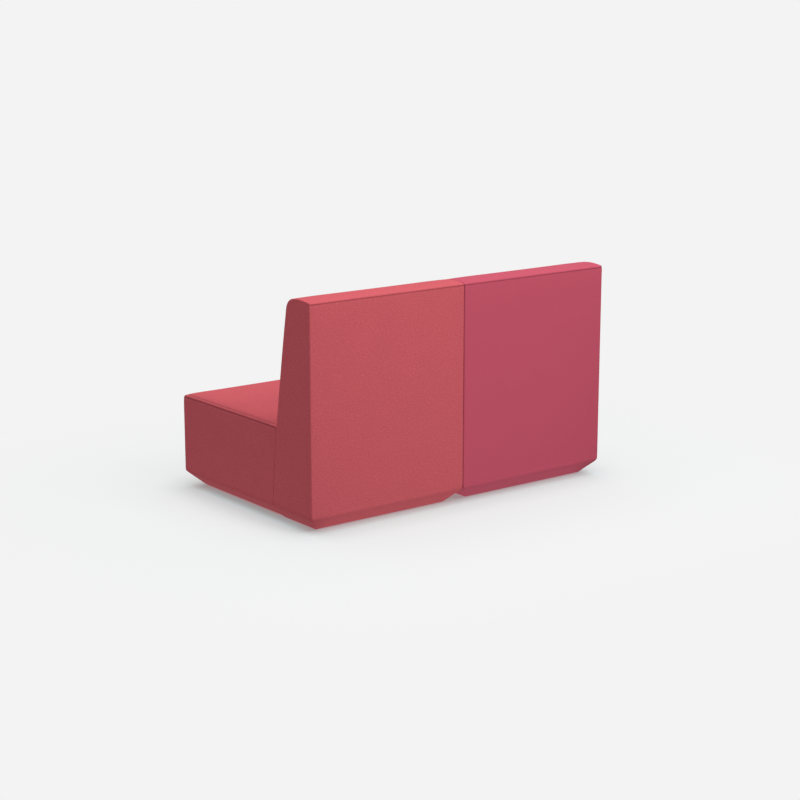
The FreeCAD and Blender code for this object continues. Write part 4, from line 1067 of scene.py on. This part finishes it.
class SOFA_OT_seats(Operator):
    """Build the two seats and the topstitches along their sides"""

    bl_idname = "sofa.seats"
    bl_label = "Seats"

    def execute(self, context):
        settings = context.scene.sofa
        seat = settings.seat
        cover = seat_cover(settings)
        on_top = (cover.along > cover.top_span[0]) & (cover.along < cover.top_span[1])
        row_gap = np.abs(cover.past_roll - seat.topstitch)
        # row: the dent of the topstitches; mark: the painted shade line along them.
        row, mark = np.zeros((2, len(cover.points)))
        np.maximum.at(row, cover.band_index, bell(row_gap, settings.cover.seam_width) * on_top[:, None])
        np.maximum.at(mark, cover.band_index, bell(row_gap, seat.topstitch_painted_shade_width) * on_top[:, None])
        points = cover.sewn(cover.swollen(), seat.topstitch_depth * row)
        # Painted shade: the crease shade of the seams, the line at the topstitches and the shade beside
        # them.
        crease = np.maximum(cover.crease, np.maximum(TOPSTITCH_PAINTED_SHADE * mark, self.painted_shade_beside_stitches(cover, seat)))
        normals = vertex_normals(points, cover.quads)
        for module in MODULES:
            upholster(f"{module}_seat_upholstery", module, points, cover, crease, settings.fabric,
                      ("seat_cover", "seat_foam", "seat_edge_foam"))
            self.stitch(module, settings, cover, points, normals, on_top, row_gap)
        return {"FINISHED"}

    def painted_shade_beside_stitches(self, cover, seat):
        """Painted shade: even from the edge to the topstitches, then an exponential inwards, faded in from
        both ends.
        """
        start, end = cover.top_span
        ends = np.clip(np.minimum(cover.along - start, end - cover.along) / BESIDE_STITCH_SHADE_START, 0.0, 1.0)
        inwards = np.maximum(cover.past_roll - seat.topstitch, 0.0)
        shade = np.zeros(len(cover.points))
        np.maximum.at(shade, cover.band_index, BESIDE_STITCH_PAINTED_SHADE * np.exp(-inwards / BESIDE_STITCH_SHADE_REACH) * ends[:, None])
        return shade

    def stitch(self, module, settings, cover, points, normals, on_top, row_gap):
        """Two rows of stitches where the covers are dented."""
        seat = settings.seat
        rows = []
        for half in np.array_split(np.arange(ACROSS_WIDTH), 2):
            column = half[np.argmin(row_gap[on_top][:, half].mean(axis=0))]
            index = cover.band_index[on_top, column]
            lifted = points[index] + normals[index] * STITCH_LIFT * seat.thread
            rows.append(lay_stitches(
                lifted, normals[index], seat.stitch_pitch, seat.stitch_length, seat.thread))
        spots = np.concatenate([row[0] for row in rows])
        quads = np.concatenate((rows[0][1], rows[1][1] + len(rows[0][0])))
        piece = new_mesh_object(f"{module}_seat_topstitches", *placed(module, spots, quads))
        piece.data.materials.append(
            sewing_thread(f"{module}_sewing_thread", tuple(getattr(settings.fabric, f"{module}_thread"))))
        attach(piece, BODY)


class SOFA_OT_backs(Operator):
    """Build the two backs"""

    bl_idname = "sofa.backs"
    bl_label = "Backs"

    def execute(self, context):
        settings = context.scene.sofa
        cover = back_cover(settings)
        points = cover.sewn(cover.swollen())
        for module in MODULES:
            upholster(f"{module}_back_upholstery", module, points, cover, cover.crease, settings.fabric,
                      ("back_cover", "back_front_foam", "back_top_foam", "back_rear_foam", "back_side_foam"))
        return {"FINISHED"}


class SOFA_OT_frame_finishes(Operator):
    """Give the frame, webbing, dust covers and hardware their finishes"""

    bl_idname = "sofa.frame_finishes"
    bl_label = "Frame finishes"

    def execute(self, context):
        finishes = {
            plywood(): ("base_board", "gables", "joint_panel"),
            timber(): ("_rail", "side_rails", "corner_blocks"),
            hardboard(): ("rear_panel",),
            webbing(): ("webbing",),
            dust_cloth(): ("dust_cover",),
            zinc_steel(): ("bolts", "washers", "tee_nuts", "screws", "link_plate"),
            glide_plastic(): ("_glides",),
        }
        for name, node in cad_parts.items():
            if node.hide_render:
                continue
            match = [finish for finish, endings in finishes.items() if name.endswith(endings)]
            if len(match) != 1:
                raise RuntimeError(f"{name} has {len(match)} finishes")
            node.data.materials.clear()
            node.data.materials.append(match[0])
        return {"FINISHED"}


class SOFA_OT_stage(Operator):
    """Set up the floor, light and camera"""

    bl_idname = "sofa.stage"
    bl_label = "Stage"

    def execute(self, context):
        stage = context.scene.sofa.stage
        self.lay_floor(stage)
        self.light(stage)
        self.aim_camera(stage)
        context.scene.view_settings.view_transform = "Standard"
        return {"FINISHED"}

    def lay_floor(self, stage):
        """A flat square under the sofa."""
        half = 0.5 * stage.floor_size
        points = np.array([(-half, -half, 0.0), (half, -half, 0.0), (half, half, 0.0), (-half, half, 0.0)])
        floor = new_mesh_object("studio_floor", points, np.array([(0, 1, 2, 3)]))
        floor.data.materials.append(self.floor_finish(stage))

    def floor_finish(self, stage):
        """Pale matt floor that fades into the background for the camera and lets it look up from below.

        The light that it throws back on the sofa is its own: weaker on the two sides, and changing with
        the distance in front and behind.
        """
        finish = Finish("studio_floor")
        tree = finish.tree
        place = finish.place()
        speck = finish.noise(place, 60.0, 3.0)
        apart = finish.vector("SUBTRACT", finish.vector("ABSOLUTE", place), tuple(stage.footprint))
        distance = finish.add("ShaderNodeVectorMath", {
            0: finish.vector("MAXIMUM", apart, (0.0, 0.0, 0.0))}, operation="LENGTH").outputs["Value"]
        fade = finish.math(
            "ADD",
            finish.remap(distance, stage.contact_fade, stage.near_fade, 0.0, stage.near, "SMOOTHSTEP"),
            finish.remap(distance, 0.0, 1.0 - stage.near_fade, stage.near, stage.far, "SMOOTHSTEP"))
        dust = finish.ramp(speck, [(0.3, (0.985, 0.985, 0.985)), (0.7, (1.0, 1.0, 1.0))])
        aside, along = [finish.math("ABSOLUTE", part) for part in finish.add(
            "ShaderNodeSeparateXYZ", {"Vector": place}).outputs[:2]]
        wide, deep = stage.footprint[:2]
        # Painted tint: the contact colour under the two sides and the cooler colour near the sofa cancel the
        # pink light bounced into the floor's shade.
        beyond = finish.math(
            "MULTIPLY", finish.remap(along, 1.0, 0.0, CONTACT_END * deep, deep),
            finish.math("GREATER_THAN", aside, wide))
        contact = finish.remap(distance, 1.0, 0.0, 0.0, stage.contact, "SMOOTHSTEP")
        beside = finish.mix(finish.math("MULTIPLY", contact, beyond), (*stage.floor_beside_painted_tint, 1.0),
                            (*stage.floor_contact_painted_tint, 1.0))
        shade = finish.mix(fade, beside, (*stage.floor, 1.0))
        finish.set(Base_Color=finish.mix(1.0, shade, dust, "MULTIPLY"),
                   Roughness=finish.remap(speck, 0.85, 0.95), Specular_IOR_Level=0.1)
        glow = finish.add("ShaderNodeEmission", {"Color": (*stage.background, 1.0), "Strength": 1.0})
        faded = finish.add("ShaderNodeMixShader", {0: fade, 1: finish.shader.outputs[0], 2: glow.outputs[0]})
        bounce = finish.remap(
            aside, stage.bounce, stage.bounce_sideways, *[part * wide for part in SIDEWAYS_BAND])
        further = finish.remap(along, 0.0, 1.0, deep, deep + stage.far)
        part = finish.ramp(further, [(at, (value,) * 3) for at, value in BOUNCE_SHARES])
        thrown = finish.add("ShaderNodeEmission", {"Strength": finish.math("MULTIPLY", bounce, part)})
        faded = finish.add("ShaderNodeMixShader", {
            0: seen_rays(tree), 1: thrown.outputs[0], 2: faded.outputs[0]})
        clear = finish.add("ShaderNodeBsdfTransparent")
        under = finish.add("ShaderNodeNewGeometry").outputs["Backfacing"]
        both = finish.add("ShaderNodeMixShader", {0: under, 1: faded.outputs[0], 2: clear.outputs[0]})
        tree.links.new(both.outputs[0], tree.nodes["Material Output"].inputs["Surface"])
        return finish.material

    def light(self, stage):
        """Even light from all round with the background behind it, and two soft lamps."""
        world = bpy.data.worlds.new("studio")
        world.use_nodes = True
        bpy.context.scene.world = world
        tree = world.node_tree
        sky = tree.nodes["Background"]
        sky.inputs["Color"].default_value = (1.0, 1.0, 1.0, 1.0)
        sky.inputs["Strength"].default_value = stage.sky
        behind = add_node(tree, "ShaderNodeBackground", {"Color": (*stage.background, 1.0)})
        blend = add_node(tree, "ShaderNodeMixShader", {
            0: seen_rays(tree), 1: sky.outputs[0], 2: behind.outputs[0]})
        tree.links.new(blend.outputs[0], tree.nodes["World Output"].inputs["Surface"])
        overhead = bpy.data.lights.new("overhead_light", "SUN")
        overhead.energy = stage.overhead
        overhead.angle = stage.overhead_spread
        self.hang(overhead, Vector(stage.overhead_from), (0.0, 0.0, OVERHEAD_HEIGHT))
        rear = bpy.data.lights.new("rear_light", "AREA")
        rear.energy = stage.rear
        rear.size = stage.rear_size
        self.hang(rear, Vector(stage.rear_place) - Vector((0.0, 0.0, AIM_HEIGHT)), stage.rear_place)

    @staticmethod
    def hang(lamp, back, place):
        """A lamp at a place, with its back turned along a direction."""
        light = bpy.data.objects.new(lamp.name, lamp)
        light.rotation_euler = back.to_track_quat("Z", "Y").to_euler()
        light.location = place
        bpy.context.scene.collection.objects.link(light)

    def aim_camera(self, stage):
        """The camera at the photograph's angle."""
        camera = bpy.data.objects.new("camera", bpy.data.cameras.new("camera"))
        camera.data.sensor_width = SENSOR_WIDTH
        camera.data.lens = stage.lens
        camera.location = stage.camera_place
        camera.rotation_euler = Vector(stage.camera_ahead).to_track_quat("-Z", "Y").to_euler()
        bpy.context.scene.collection.objects.link(camera)
        bpy.context.scene.camera = camera


class SOFA_PT_sidebar(Panel):
    """Lists the settings and the steps of the sofa"""

    bl_idname = "SOFA_PT_sidebar"
    bl_label = "Two-seat sofa"
    bl_space_type = "VIEW_3D"
    bl_region_type = "UI"
    bl_category = "Sofa"

    def draw(self, context):
        settings = context.scene.sofa
        for step in STEPS:
            self.layout.operator(step.bl_idname)
        for group in ("cover", "seat", "back", "fabric", "stage"):
            box = self.layout.box()
            box.label(text=group.capitalize())
            values = getattr(settings, group)
            for key in values.__annotations__:
                box.prop(values, key)


STEPS = (SOFA_OT_seats, SOFA_OT_backs, SOFA_OT_frame_finishes, SOFA_OT_stage)
CLASSES = (CoverSizes, SeatSizes, BackSizes, FabricLooks, StageLooks, SofaSettings, *STEPS, SOFA_PT_sidebar)


def register():
    for item in CLASSES:
        bpy.utils.register_class(item)
    bpy.types.Scene.sofa = PointerProperty(type=SofaSettings)


def unregister():
    del bpy.types.Scene.sofa
    for item in reversed(CLASSES):
        bpy.utils.unregister_class(item)


def main():
    register()
    bpy.ops.sofa.seats()
    bpy.ops.sofa.backs()
    bpy.ops.sofa.frame_finishes()
    bpy.ops.sofa.stage()


if __name__ == "__main__":
    main()
